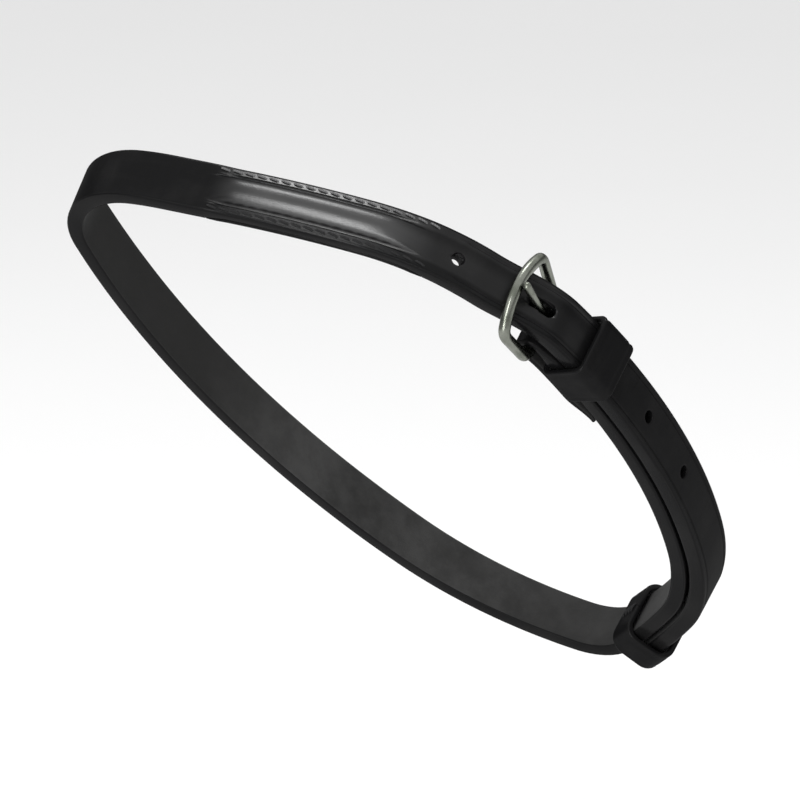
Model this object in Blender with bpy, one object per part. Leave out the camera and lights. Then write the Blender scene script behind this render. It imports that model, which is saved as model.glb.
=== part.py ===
"""Flash nose strap: a narrow black leather strap, buckled into a loop.

The strap hangs from its seat, the short straight stretch at the front that carries it.
One long strip of leather starts at the chape, which folds round the buckle's heel bar,
goes round the muzzle and through the seat, is raised over a filler on its front
stretch, and ends in the billet. The billet runs under the buckle's front bar, over the
chape and through two keepers, and bends with the strap at the corner under the jaw.

Metres, +Z up, -Y towards the horse's front, +X towards its left side. The origin is
the middle of the leather at the seat. Distances run along the loop from the seat
towards the buckle; "out" is away from the muzzle, and "across" is along the strap's
width, towards its lower edge.
"""
from math import atan, ceil, cos, hypot, pi, radians, sin, sqrt, tan

import bmesh
import bpy
import numpy as np
from mathutils import Vector

# The leather
STRAP_WIDTH = 0.0130
STRAP_THICKNESS = 0.0041
BILLET_THICKNESS = 0.0043
EDGE_BEVEL = 0.0006
LAYER_GAP = 0.0008
CLEARANCE = 0.0003

# The loop that the strap hangs in: a straight seat, then arcs, in one sloping plane.
# The chape's arc and the far side's arc take the radii that close the loop.
PLANE_TILT = 45.0
PLANE_YAW = 12.0
SEAT_LENGTH = 0.0160
SEAT_HEADING = 12.0
FRONT_TURN, FRONT_RADIUS = 7.0, 0.2700
SHOULDER_TURN, SHOULDER_RADIUS = 49.0, 0.0560
CHAPE_TURN = 31.0
SIDE_TURN, SIDE_RADIUS = 17.0, 0.0650
ELBOW_TURN, ELBOW_RADIUS = 16.0, 0.0340
KEEPER_TURN, KEEPER_RADIUS = 7.0, 0.1900
CORNER_TURN, CORNER_RADIUS = 65.0, 0.0140
UNDER_TURN, UNDER_RADIUS = 32.0, 0.0880
FAR_TURN = 32.0
BEND_TURN, BEND_RADIUS = 96.0, 0.0190
RETURN_RADIUS = 0.0590

# How far the strap's face leans from square to that plane, by share of the loop
LEAN_SHARES = ((0.0, 4.0), (0.06, 4.0), (0.20, 6.0), (0.51, 6.0), (0.66, -3.0),
               (0.84, -3.0), (0.98, 4.0), (1.0, 4.0))

# The raised front stretch
RAISE_START = 0.0015
RAISE_END = 0.0590
RAISE_RAMP = 0.0080
RAISE_END_RAMP = 0.0140
DOME_HALF_WIDTH = 0.0034
DOME_RISE = 0.0019
GROOVE_HALF_WIDTH = 0.0005
GROOVE_DEPTH = 0.0005
LINING_THICKNESS = 0.0012
LINING_SKIVE = 0.0050
LINING_TIP = 0.0004
LINING_MARGIN = 0.0020
FILLER_HALF_WIDTH = 0.0019
DOME_SHARES = ((0.87, 0.49), (0.5, 0.87), (0.0, 1.0))
HOLLOW_SHOULDER_SHARES = (0.6, 0.8)
FILLER_SHOULDER_SHARES = (0.6, 0.7)
FILLER_END_SHARE = 0.5

# The buckle
HEEL_BAR_DISTANCE = 0.0910
WIRE_RADIUS = 0.0014
FRAME_LENGTH = 0.0170
FRAME_BOW = 0.0038
FRAME_FRONT_HALF_WIDTH = 0.0112
FRAME_SIDE_GAP = 0.0005
FRONT_BAR_GAP = 0.0012
FRAME_CORNER_REACH = 0.0024
CORNER_LIMIT_SHARE = 0.5
FRONT_BAR_SHARES = (0.75, 0.5, 0.25, 0.0, -0.25, -0.5, -0.75)
TONGUE_RADIUS = 0.0010
TONGUE_EYE_STARTS_AT = 40.0
TONGUE_EYE_SWEEP = 270.0
TONGUE_BEND_RADIUS = 0.0060
TONGUE_OVERHANG = 0.0016

# The chape
FOLD_THICKNESS = 0.0020
TURN_BACK_LENGTH = 0.0280
TURN_BACK_THICKNESS = 0.0018
TURN_BACK_TIP = 0.0010
SKIVE_LENGTH = 0.0070
SLOT_END_GAP = 0.0008
SLOT_SIDE_GAP = 0.0005

# The billet
BILLET_CLIMB = 0.0200
CLIMB_SHARES = (1.0, 0.75, 0.5, 0.25)
BILLET_TIP_PAST_KEEPER = 0.0080
POINT_LENGTH = 0.0130
POINT_HALF_WIDTH = 0.0012
HOLE_RADIUS = 0.0015
HOLE_SPACING = 0.0205
TONGUE_HOLE_BEFORE_BAR = 0.0075
TONGUE_HOLE_LENGTH = 0.0090
TONGUE_HOLE_SLANT = 52.0
HOLES_BEFORE = 1
HOLES_AFTER = 3

# The keepers
KEEPER_THICKNESS = 0.0015
KEEPER_BEVEL = 0.0003
FIXED_KEEPER_CORNER = 0.0018
LOOSE_KEEPER_CORNER = 0.0034
FIXED_KEEPER_WIDTH = 0.0110
FIXED_KEEPER_AFTER_BAR = 0.0122
FIXED_KEEPER_PLAY = 0.0010
LOOSE_KEEPER_WIDTH = 0.0085
LOOSE_KEEPER_BEFORE_CORNER = 0.0001
LOOSE_KEEPER_PLAY = 0.0008
LOOSE_KEEPER_SIDE_PLAY = 0.0009

# The thread
THREAD_RADIUS = 0.0003
STITCH_LENGTH = 0.0030
STITCH_INSET = 0.0013
STITCH_WAVE = 0.00012
BUTT_STITCH_REACH = 0.0011
BUTT_STITCHES = 4

# How finely round shapes are cut, and how far cutters run past what they cut
STEP_TURN = 6.5
STEP_LENGTH = 0.0065
RAISED_STEP = 0.0045
MIN_STEP = 0.0008
FOLD_STEPS = 9
CORNER_STEPS = 4
TONGUE_EYE_STEPS = 10
TONGUE_BEND_STEPS = 6
SOLVING_ROUNDS = 20
POINT_SHARES = (0.35, 0.65, 0.86, 1.0)
CUTTER_OVERRUN = 0.0010
HOLE_SIDES = 16


class Loop:
    """The closed line that the strap's middle follows, in its own sloping plane."""

    def __init__(self):
        tilt, yaw = radians(PLANE_TILT), radians(PLANE_YAW)
        self.right = Vector((cos(yaw), sin(yaw), 0))
        back = Vector((-sin(yaw), cos(yaw), 0))
        self.down = back * cos(tilt) + Vector((0, 0, -1)) * sin(tilt)
        self.front = -self.right.cross(self.down)
        if self.front.z > 0:
            self.front.negate()
        arcs = {"front": (FRONT_TURN, FRONT_RADIUS), "shoulder": (SHOULDER_TURN, SHOULDER_RADIUS),
                "chape": (CHAPE_TURN, None), "side": (SIDE_TURN, SIDE_RADIUS),
                "elbow": (ELBOW_TURN, ELBOW_RADIUS), "keeper": (KEEPER_TURN, KEEPER_RADIUS),
                "corner": (CORNER_TURN, CORNER_RADIUS), "under": (UNDER_TURN, UNDER_RADIUS),
                "far": (FAR_TURN, None), "bend": (BEND_TURN, BEND_RADIUS)}
        arcs["return"] = (360 - sum(turn for turn, _ in arcs.values()), RETURN_RADIUS)
        turns = [radians(turn) for turn, _ in arcs.values()]
        radii = [radius for _, radius in arcs.values()]
        self.close(radii, turns)
        self.lay(radii, turns)
        self.starts = {name: piece[0] for name, piece in zip(arcs, self.pieces[1:])}

    def close(self, radii, turns):
        """Fill in the two radii that follow from the rest, so that the line meets itself."""
        heading = radians(SEAT_HEADING)
        reached = [cos(heading) * SEAT_LENGTH, sin(heading) * SEAT_LENGTH]
        columns, free = [], []
        for index, turn in enumerate(turns):
            move = (sin(heading + turn) - sin(heading), cos(heading) - cos(heading + turn))
            heading += turn
            if radii[index] is None:
                columns.append(move)
                free.append(index)
            else:
                reached = [value + radii[index] * part for value, part in zip(reached, move)]
        found = np.linalg.solve(np.array(columns).T, -np.array(reached))
        for index, radius in zip(free, found):
            radii[index] = float(radius)

    def lay(self, radii, turns):
        """Each piece: where it starts, its point and heading there, its length and radius."""
        heading = radians(SEAT_HEADING)
        point = Vector((0, 0))
        distance = 0.0
        self.pieces = []
        for length, radius in ((SEAT_LENGTH / 2, None),
                               *((abs(r * t), r) for r, t in zip(radii, turns)),
                               (SEAT_LENGTH / 2, None)):
            self.pieces.append((distance, point.copy(), heading, length, radius))
            turned = length / radius if radius else 0.0
            point += self.step(heading, length, turned, radius)
            heading += turned
            distance += length
        self.length = distance

    @staticmethod
    def step(heading, length, turned, radius):
        if radius is None:
            return Vector((cos(heading), sin(heading))) * length
        return radius * Vector((sin(heading + turned) - sin(heading),
                                cos(heading) - cos(heading + turned)))

    def axes(self, distance):
        """The middle of the leather, and the directions along, across and out."""
        along_loop = distance % self.length
        piece = max((p for p in self.pieces if p[0] <= along_loop), key=lambda p: p[0])
        start, point, heading, _, radius = piece
        travelled = along_loop - start
        turned = travelled / radius if radius else 0.0
        point = point + self.step(heading, travelled, turned, radius)
        heading += turned
        middle = self.right * point.x + self.down * point.y
        along = self.right * cos(heading) + self.down * sin(heading)
        away = self.right * sin(heading) - self.down * cos(heading)
        lean = radians(self.lean(along_loop / self.length))
        across = self.front * cos(lean) - away * sin(lean)
        out = away * cos(lean) + self.front * sin(lean)
        return middle, along, across, out

    @staticmethod
    def lean(share):
        for (start, before), (end, after) in zip(LEAN_SHARES, LEAN_SHARES[1:]):
            if share <= end:
                return before + (after - before) * smooth((share - start) / (end - start))
        return LEAN_SHARES[-1][1]

    def stations(self, start, end, extra=()):
        """Distances that cut every arc evenly, with the extra ones among them."""
        wanted = [start, end, *extra]
        turns = range(int(start // self.length), int(end // self.length) + 1)
        for base, (first, _, _, length, radius) in [(t, p) for t in turns for p in self.pieces]:
            step = min(STEP_LENGTH, abs(radius) * radians(STEP_TURN)) if radius else length / 2
            count = ceil(length / step)
            wanted += [base * self.length + first + length * k / count for k in range(count)]
        fixed = sorted({start, end, *extra})
        kept = list(fixed)
        for distance in sorted(wanted):
            if start < distance < end and min(abs(distance - k) for k in kept) > MIN_STEP:
                kept.append(distance)
        return sorted(kept)


def smooth(share):
    share = min(max(share, 0.0), 1.0)
    return share * share * (3 - 2 * share)


def place(distance, out=0.0, across=0.0):
    middle, _, sideways, outwards = LOOP.axes(distance)
    return middle + outwards * out + sideways * across


LOOP = Loop()
HALF_WIDTH = STRAP_WIDTH / 2
FACE = STRAP_THICKNESS / 2
FOLD_RADIUS = WIRE_RADIUS + CLEARANCE + FOLD_THICKNESS / 2
HEEL_BAR_OUT = -FOLD_RADIUS
BILLET_OUT = FACE + LAYER_GAP + BILLET_THICKNESS / 2
SECOND_PASS = LOOP.length
BUCKLE_PASS = SECOND_PASS + HEEL_BAR_DISTANCE
TONGUE_HOLE_DISTANCE = BUCKLE_PASS - TONGUE_HOLE_BEFORE_BAR
LINING_START = RAISE_START + LINING_MARGIN
LINING_END = RAISE_END - LINING_MARGIN
EYE_RADIUS = WIRE_RADIUS + CLEARANCE + TONGUE_RADIUS
CHAPE_SLOT_REACH = EYE_RADIUS + TONGUE_RADIUS + SLOT_END_GAP
KEEPER_NEAR = FIXED_KEEPER_AFTER_BAR - FIXED_KEEPER_WIDTH / 2
KEEPER_FAR = FIXED_KEEPER_AFTER_BAR + FIXED_KEEPER_WIDTH / 2 + LAYER_GAP
LOOSE_KEEPER_DISTANCE = (LOOP.starts["corner"] - LOOSE_KEEPER_BEFORE_CORNER
                         - LOOSE_KEEPER_WIDTH / 2)
BILLET_TIP_DISTANCE = LOOSE_KEEPER_DISTANCE + BILLET_TIP_PAST_KEEPER


def material(name, colour, roughness, metallic=0.0):
    mat = bpy.data.materials.new(name)
    mat.use_nodes = True
    shader = mat.node_tree.nodes["Principled BSDF"]
    shader.inputs["Base Color"].default_value = (*colour, 1.0)
    shader.inputs["Roughness"].default_value = roughness
    shader.inputs["Metallic"].default_value = metallic
    return mat


def add_object(name, data, mat, collection):
    obj = bpy.data.objects.new(name, data)
    if mat:
        data.materials.append(mat)
    collection.objects.link(obj)
    return obj


def finish_mesh(name, mesh_bm, mat, smooth_angle=35.0):
    bmesh.ops.recalc_face_normals(mesh_bm, faces=mesh_bm.faces)
    mesh = bpy.data.meshes.new(name)
    mesh_bm.to_mesh(mesh)
    mesh_bm.free()
    mesh.shade_smooth()
    mesh.set_sharp_from_angle(angle=radians(smooth_angle))
    return add_object(name, mesh, mat, PARTS)


def zip_rings(mesh_bm, first, second):
    """Faces between two closed rings of points, also where their counts differ."""
    if len(first) == len(second):
        for i in range(len(first)):
            j = (i + 1) % len(first)
            mesh_bm.faces.new((first[i], first[j], second[j], second[i]))
        return
    shares = [ring_shares(ring) for ring in (first, second)]
    i = j = 0
    while i < len(first) or j < len(second):
        a, b = first[i % len(first)], second[j % len(second)]
        if j >= len(second) or (i < len(first) and shares[0][i + 1] <= shares[1][j + 1]):
            mesh_bm.faces.new((a, first[(i + 1) % len(first)], b))
            i += 1
        else:
            mesh_bm.faces.new((a, second[(j + 1) % len(second)], b))
            j += 1


def ring_shares(ring):
    """How far round the ring each point lies, from 0 to 1."""
    reached = [0.0]
    for a, b in zip(ring, ring[1:] + ring[:1]):
        reached.append(reached[-1] + (b.co - a.co).length)
    return [value / reached[-1] for value in reached]


def loft(name, rings, mat, closed=False):
    """A solid through closed rings of world points, capped unless it meets itself."""
    mesh_bm = bmesh.new()
    made = [[mesh_bm.verts.new(point) for point in ring] for ring in rings]
    for first, second in zip(made, made[1:]):
        zip_rings(mesh_bm, first, second)
    if closed:
        zip_rings(mesh_bm, made[-1], made[0])
    else:
        mesh_bm.faces.new(made[0][::-1])
        mesh_bm.faces.new(made[-1])
    return finish_mesh(name, mesh_bm, mat)


def tube(name, points, radius, mat, closed=False, resolution=2):
    curve = bpy.data.curves.new(name, "CURVE")
    curve.dimensions = "3D"
    curve.bevel_depth = radius
    curve.bevel_resolution = resolution
    curve.use_fill_caps = True
    spline = curve.splines.new("POLY")
    spline.points.add(len(points) - 1)
    for target, point in zip(spline.points, points):
        target.co = (*point, 1.0)
    spline.use_cyclic_u = closed
    return add_object(name, curve, mat, PARTS)


def plain_section(half_width, low, high, bevel=EDGE_BEVEL):
    """A strap's cross-section with bevelled edges, from the inner face round to it."""
    b = min(bevel, (high - low) / 3, half_width / 3)
    return [(-half_width, low + b), (-half_width, high - b), (-half_width + b, high),
            (half_width - b, high), (half_width, high - b), (half_width, low + b),
            (half_width - b, low), (-half_width + b, low)]


def raised_section(raised, recess):
    """The front stretch: edge strips, grooves and a dome outside, a hollow inside."""
    high, low = FACE, -FACE + recess
    rise = DOME_RISE * raised
    groove_middle = DOME_HALF_WIDTH + GROOVE_HALF_WIDTH
    half = [(HALF_WIDTH, high - EDGE_BEVEL), (HALF_WIDTH - EDGE_BEVEL, high),
            (groove_middle + GROOVE_HALF_WIDTH, high),
            (groove_middle, high - GROOVE_DEPTH * raised), (DOME_HALF_WIDTH, high)]
    half += [(DOME_HALF_WIDTH * side, high + rise * up) for side, up in DOME_SHARES]
    outside = [(-x, z) for x, z in half] + half[-2::-1]
    hollow_width = FILLER_HALF_WIDTH + CLEARANCE
    hollow = rise * recess / (LINING_THICKNESS + CLEARANCE)
    side, up = HOLLOW_SHOULDER_SHARES
    inside = [(HALF_WIDTH, low + EDGE_BEVEL), (HALF_WIDTH - EDGE_BEVEL, low), (hollow_width, low),
              (hollow_width * side, low + hollow * up)]
    return [(-x, z) for x, z in inside[:1]] + outside + inside + [(0, low + hollow)] + [
        (-x, z) for x, z in inside[:0:-1]]


def section_at(distance, out, points):
    return [place(distance, out + z, x) for x, z in points]


def raised_share(distance):
    rise = smooth((distance - RAISE_START) / RAISE_RAMP)
    return rise * smooth((RAISE_END - distance) / RAISE_END_RAMP)


def lining_depth(distance):
    """How deep the strap's back is cut away for the lining, its clearance included."""
    reach = min(distance - LINING_START, LINING_END - distance)
    opened = min(max(reach / CLEARANCE + 2, 0.0), 1.0)
    share = min(max(reach / LINING_SKIVE, 0.0), 1.0)
    return opened * (LINING_TIP + (LINING_THICKNESS - LINING_TIP) * share + CLEARANCE)


def billet_out(distance):
    """The billet lies on the loop's line and climbs over the chape at the buckle."""
    return BILLET_OUT * smooth((distance - (BUCKLE_PASS - BILLET_CLIMB)) / BILLET_CLIMB)


def strap_rings():
    """The whole strip of leather, from the chape's turned-back end to the billet's tip."""
    rings = []
    for reach in (TURN_BACK_LENGTH, (TURN_BACK_LENGTH + KEEPER_FAR) / 2, KEEPER_FAR,
                  (KEEPER_FAR + KEEPER_NEAR) / 2, KEEPER_NEAR, KEEPER_NEAR / 2):
        low, high = turn_back_faces(reach)
        points = plain_section(HALF_WIDTH, -high, -low)
        rings.append([place(HEEL_BAR_DISTANCE + reach, -z, x) for x, z in points])
    rings += fold_rings()
    tip = SECOND_PASS + BILLET_TIP_DISTANCE
    marks = [HEEL_BAR_DISTANCE + SKIVE_LENGTH]
    marks += [BUCKLE_PASS - BILLET_CLIMB * share for share in CLIMB_SHARES]
    for edge in (LINING_START - 2 * CLEARANCE, LINING_START - CLEARANCE, LINING_START,
                 LINING_START + LINING_SKIVE, LINING_END - LINING_SKIVE, LINING_END,
                 LINING_END + CLEARANCE, LINING_END + 2 * CLEARANCE):
        marks.append(SECOND_PASS + edge)
    raised_steps = ceil((RAISE_END - RAISE_START) / RAISED_STEP)
    for step in range(raised_steps + 1):
        raised = SECOND_PASS + RAISE_START + (RAISE_END - RAISE_START) * step / raised_steps
        if min(abs(raised - mark) for mark in marks) > MIN_STEP:
            marks.append(raised)
    for distance in LOOP.stations(HEEL_BAR_DISTANCE, tip - POINT_LENGTH, marks)[1:]:
        rings.append(body_ring(distance))
    for share in POINT_SHARES:
        half = POINT_HALF_WIDTH + (HALF_WIDTH - POINT_HALF_WIDTH) * sqrt(1 - share * share)
        points = plain_section(half, -BILLET_THICKNESS / 2, BILLET_THICKNESS / 2)
        rings.append(section_at(tip - POINT_LENGTH * (1 - share), BILLET_OUT, points))
    return rings


def turn_back_faces(reach):
    """Inner and outer face of the chape's turned-back end, at a reach past the heel bar."""
    fold_outer = HEEL_BAR_OUT - WIRE_RADIUS - CLEARANCE
    under_keeper = -FACE - KEEPER_THICKNESS - 2 * CLEARANCE
    at_tip = -FACE - CLEARANCE
    from_fold = smooth(reach / KEEPER_NEAR)
    past = smooth((reach - KEEPER_FAR) / (TURN_BACK_LENGTH - KEEPER_FAR))
    outer = fold_outer + (under_keeper - fold_outer) * from_fold + (at_tip - under_keeper) * past
    thickness = FOLD_THICKNESS + (TURN_BACK_THICKNESS - FOLD_THICKNESS) * from_fold
    thickness += (TURN_BACK_TIP - TURN_BACK_THICKNESS) * past
    return outer - thickness, outer


def fold_rings():
    """Half a turn round the heel bar, from the muzzle side to the outside."""
    middle, along, across, out = LOOP.axes(HEEL_BAR_DISTANCE)
    centre = middle + out * HEEL_BAR_OUT
    points = plain_section(HALF_WIDTH, -FOLD_THICKNESS / 2, FOLD_THICKNESS / 2)
    rings = []
    for step in range(FOLD_STEPS):
        turned = radians(270 - 180 * step / (FOLD_STEPS - 1))
        radial = along * cos(turned) + out * sin(turned)
        middle_of_fold = centre + radial * FOLD_RADIUS
        rings.append([middle_of_fold + across * x + radial * z for x, z in points])
    return rings


def body_ring(distance):
    """The strap's cross-section once it has left the fold."""
    on_front = distance - SECOND_PASS
    if RAISE_START < on_front < RAISE_END:
        return section_at(distance, 0, raised_section(raised_share(on_front), lining_depth(on_front)))
    skived = smooth((distance - HEEL_BAR_DISTANCE) / SKIVE_LENGTH)
    thickness = FOLD_THICKNESS + (STRAP_THICKNESS - FOLD_THICKNESS) * skived
    thinned = smooth((on_front - RAISE_END) / SKIVE_LENGTH)
    thickness += (BILLET_THICKNESS - STRAP_THICKNESS) * thinned
    points = plain_section(HALF_WIDTH, -thickness / 2, thickness / 2)
    return section_at(distance, billet_out(distance), points)


def prism_cutter(name, frame, length, half_width, low, high, slant=0.0, mouth=0.0):
    """A slot along the strap with round ends, or a round hole where its length is none.

    A slanted one runs on along the strap, the deeper it is below its mouth.
    """
    middle, along, across, out = frame
    mesh_bm = bmesh.new()
    outline = []
    straight = max(length / 2 - half_width, 0.0)
    for side in range(HOLE_SIDES):
        angle = 2 * pi * (side + 0.5) / HOLE_SIDES
        shift = straight if cos(angle) > 0 else -straight
        outline.append((shift + half_width * cos(angle), half_width * sin(angle)))
    rings = []
    for z in (low, high):
        shift = tan(radians(slant)) * (mouth - z)
        rings.append([middle + along * (x + shift) + across * y + out * z for x, y in outline])
    bottom, top = [[mesh_bm.verts.new(point) for point in ring] for ring in rings]
    zip_rings(mesh_bm, bottom, top)
    mesh_bm.faces.new(bottom[::-1])
    mesh_bm.faces.new(top)
    bmesh.ops.recalc_face_normals(mesh_bm, faces=mesh_bm.faces)
    mesh = bpy.data.meshes.new(name)
    mesh_bm.to_mesh(mesh)
    mesh_bm.free()
    cutter = bpy.data.objects.new(name, mesh)
    cutter.hide_render = True
    cutter.display_type = "WIRE"
    CUTTERS.objects.link(cutter)
    return cutter


def cut(obj, cutter):
    modifier = obj.modifiers.new(cutter.name, "BOOLEAN")
    modifier.operation = "DIFFERENCE"
    modifier.object = cutter


def make_strap(leather):
    strap = loft("strap", strap_rings(), leather)
    slot_half = TONGUE_RADIUS + SLOT_SIDE_GAP
    fold_floor = HEEL_BAR_OUT - FOLD_RADIUS - FOLD_THICKNESS / 2 - CUTTER_OVERRUN
    billet_floor = BILLET_OUT - BILLET_THICKNESS / 2
    slot_roof = (FACE + billet_floor) / 2
    cut(strap, prism_cutter("chape_slot_cutter", LOOP.axes(HEEL_BAR_DISTANCE),
                            2 * CHAPE_SLOT_REACH, slot_half, fold_floor, slot_roof))
    for index in range(-HOLES_BEFORE, HOLES_AFTER + 1):
        distance = TONGUE_HOLE_DISTANCE + index * HOLE_SPACING
        middle, along, across, out = LOOP.axes(distance)
        frame = (middle + out * billet_out(distance), along, across, out)
        deep = BILLET_THICKNESS / 2 + LAYER_GAP / 2
        shape = (0.0, HOLE_RADIUS) if index else (TONGUE_HOLE_LENGTH, slot_half)
        slant = 0.0 if index else TONGUE_HOLE_SLANT
        cut(strap, prism_cutter(f"billet_hole_cutter_{index + HOLES_BEFORE + 1}", frame, *shape,
                                -deep, BILLET_THICKNESS, slant, BILLET_THICKNESS / 2))
    return strap


def make_lining(leather):
    rings = []
    marks = (LINING_START + LINING_SKIVE, LINING_END - LINING_SKIVE)
    for distance in LOOP.stations(LINING_START, LINING_END, marks):
        thickness = lining_depth(distance) - CLEARANCE
        points = plain_section(HALF_WIDTH, -FACE, -FACE + thickness)
        rings.append(section_at(distance, 0, points))
    return loft("front_lining", rings, leather)


def make_filler(fibre):
    """The core that holds the front stretch raised, half round, with lower ends."""
    start, end = RAISE_START + RAISE_RAMP, RAISE_END - RAISE_END_RAMP
    floor = -FACE + LINING_THICKNESS + CLEARANCE
    rise = DOME_RISE - CLEARANCE
    side, up = FILLER_SHOULDER_SHARES
    rings = []
    for distance in LOOP.stations(start, end):
        reach = min(distance - start, end - distance)
        grown = FILLER_END_SHARE + (1 - FILLER_END_SHARE) * smooth(reach / RAISE_RAMP)
        top = rise * grown
        half = FILLER_HALF_WIDTH * grown
        points = [(-half, floor), (-half * side, floor + top * up), (0, floor + top),
                  (half * side, floor + top * up), (half, floor)]
        rings.append(section_at(distance, 0, points))
    return loft("front_filler", rings, fibre)


def stitch_row(name, start, end, out_at, across, thread):
    """One thread that rides on the leather and dips at each stitch hole."""
    count = max(round((end - start) / STITCH_LENGTH), 1)
    points = []
    for step in range(2 * count + 1):
        distance = start + (end - start) * step / (2 * count)
        wave = STITCH_WAVE if step % 2 else 0.0
        points.append(place(distance, out_at(distance, wave), across))
    return tube(name, points, THREAD_RADIUS, thread, resolution=1)


def make_stitching(thread):
    inset = HALF_WIDTH - STITCH_INSET
    ride = THREAD_RADIUS + CLEARANCE

    def on_front(_, wave):
        return FACE + ride + wave

    def on_chape(distance, wave):
        return turn_back_faces(distance - HEEL_BAR_DISTANCE)[0] - ride - wave

    start, end = RAISE_START + LINING_MARGIN, RAISE_END - LINING_MARGIN
    stitch_row("front_stitching_upper", start, end, on_front, -inset, thread)
    stitch_row("front_stitching_lower", start, end, on_front, inset, thread)
    start = HEEL_BAR_DISTANCE + CHAPE_SLOT_REACH
    end = HEEL_BAR_DISTANCE + TURN_BACK_LENGTH - STITCH_INSET
    stitch_row("chape_stitching_upper", start, end, on_chape, -inset, thread)
    stitch_row("chape_stitching_lower", start, end, on_chape, inset, thread)


def buckle_axes():
    """The heel bar's middle, and the frame's directions: forward, across and up."""
    middle, _, across, out = LOOP.axes(HEEL_BAR_DISTANCE)
    bar = middle + out * HEEL_BAR_OUT
    back = FRAME_LENGTH
    for _ in range(SOLVING_ROUNDS):
        level = billet_out(BUCKLE_PASS - back) + BILLET_THICKNESS / 2 + FRONT_BAR_GAP + WIRE_RADIUS
        forward = place(BUCKLE_PASS - back, level) - bar
        forward -= across * forward.dot(across)
        back *= FRAME_LENGTH / forward.length
    forward.normalize()
    up = forward.cross(across)
    if up.dot(out) < 0:
        up.negate()
    return bar, forward, across, up


def rounded_outline(corners, reaches):
    """The closed outline with each listed corner replaced by a short curve."""
    points = []
    for i, (corner, reach) in enumerate(zip(corners, reaches)):
        if not reach:
            points.append(corner)
            continue
        before, after = corners[i - 1], corners[(i + 1) % len(corners)]
        ends = []
        for other in (before, after):
            span = hypot(other[0] - corner[0], other[1] - corner[1])
            share = min(reach / span, CORNER_LIMIT_SHARE)
            ends.append([corner[k] + (other[k] - corner[k]) * share for k in (0, 1)])
        for step in range(CORNER_STEPS + 1):
            on = step / CORNER_STEPS
            points.append([(1 - on) ** 2 * ends[0][k] + 2 * on * (1 - on) * corner[k]
                           + on ** 2 * ends[1][k] for k in (0, 1)])
    return points


def make_frame(steel):
    """A bent wire: heel bar, sides that spread forwards, and a bowed front bar."""
    bar, forward, across, _ = buckle_axes()
    heel = HALF_WIDTH + FRAME_SIDE_GAP + WIRE_RADIUS
    shoulder = FRAME_LENGTH - FRAME_BOW
    front = [(FRAME_LENGTH - FRAME_BOW * share * share, FRAME_FRONT_HALF_WIDTH * share)
             for share in FRONT_BAR_SHARES]
    corners = [(0, -heel), (0, heel), (shoulder, FRAME_FRONT_HALF_WIDTH), *front,
               (shoulder, -FRAME_FRONT_HALF_WIDTH)]
    reach = FRAME_CORNER_REACH
    reaches = [reach, reach, reach, *[0.0] * len(front), reach]
    points = [bar + forward * x + across * y for x, y in rounded_outline(corners, reaches)]
    return tube("buckle_frame", points, WIRE_RADIUS, steel, closed=True)


def make_tongue(steel):
    """An open eye round the heel bar, then a shank bent up and over the front bar."""
    bar, forward, _, up = buckle_axes()
    points = []
    for step in range(TONGUE_EYE_STEPS + 1):
        angle = radians(TONGUE_EYE_STARTS_AT - TONGUE_EYE_SWEEP * step / TONGUE_EYE_STEPS)
        points.append((EYE_RADIUS * cos(angle), EYE_RADIUS * sin(angle)))
    x, z = points[-1]
    heading = angle - pi / 2 + 2 * pi
    bend = TONGUE_BEND_RADIUS
    slope = 0.0
    for _ in range(SOLVING_ROUNDS):
        after = x + bend * (sin(heading) + sin(slope))
        height = z + bend * (cos(slope) - cos(heading))
        slope = atan((height - EYE_RADIUS) / (FRAME_LENGTH - after))
    for step in range(1, TONGUE_BEND_STEPS + 1):
        angle = heading - (heading + slope) * step / TONGUE_BEND_STEPS
        turned = (sin(heading) - sin(angle), cos(angle) - cos(heading))
        points.append((x + bend * turned[0], z + bend * turned[1]))
    x, z = points[-1]
    for reach in ((FRAME_LENGTH + TONGUE_OVERHANG - x) / 2, FRAME_LENGTH + TONGUE_OVERHANG - x):
        points.append((x + reach, z - reach * tan(slope)))
    world = [bar + forward * px + up * pz for px, pz in points]
    return tube("buckle_tongue", world, TONGUE_RADIUS, steel)


def keeper_path(half_width, low, high, corner):
    """The middle line of a keeper's band round its opening, with its outward normals."""
    path = []
    for quarter, (x, z) in enumerate(((half_width, high), (-half_width, high),
                                      (-half_width, low), (half_width, low))):
        centre_x = x - corner if x > 0 else x + corner
        centre_z = z - corner if z == high else z + corner
        for step in range(CORNER_STEPS + 1):
            angle = radians(90 * (quarter + step / CORNER_STEPS))
            normal = (cos(angle), sin(angle))
            path.append((centre_x + corner * normal[0], centre_z + corner * normal[1], normal))
    return path


def make_keeper(name, distance, width, plays, corner, leather):
    """A band of leather whose ends meet, with its room inside, at the sides and outside."""
    half_band, half_width, b = KEEPER_THICKNESS / 2, width / 2, KEEPER_BEVEL
    section = [(-half_width, -half_band + b), (-half_width + b, -half_band), (0, -half_band),
               (half_width - b, -half_band), (half_width, -half_band + b)]
    section += [(-along, -away) for along, away in section]
    inner_play, side_play, outer_play = plays
    low = -FACE - inner_play - half_band
    high = BILLET_OUT + BILLET_THICKNESS / 2 + outer_play + half_band
    rings = []
    for x, z, normal in keeper_path(HALF_WIDTH + side_play + half_band, low, high, corner):
        rings.append([place(distance + along, z + normal[1] * away, x + normal[0] * away)
                      for along, away in section])
    return loft(name, rings, leather, closed=True)


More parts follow.
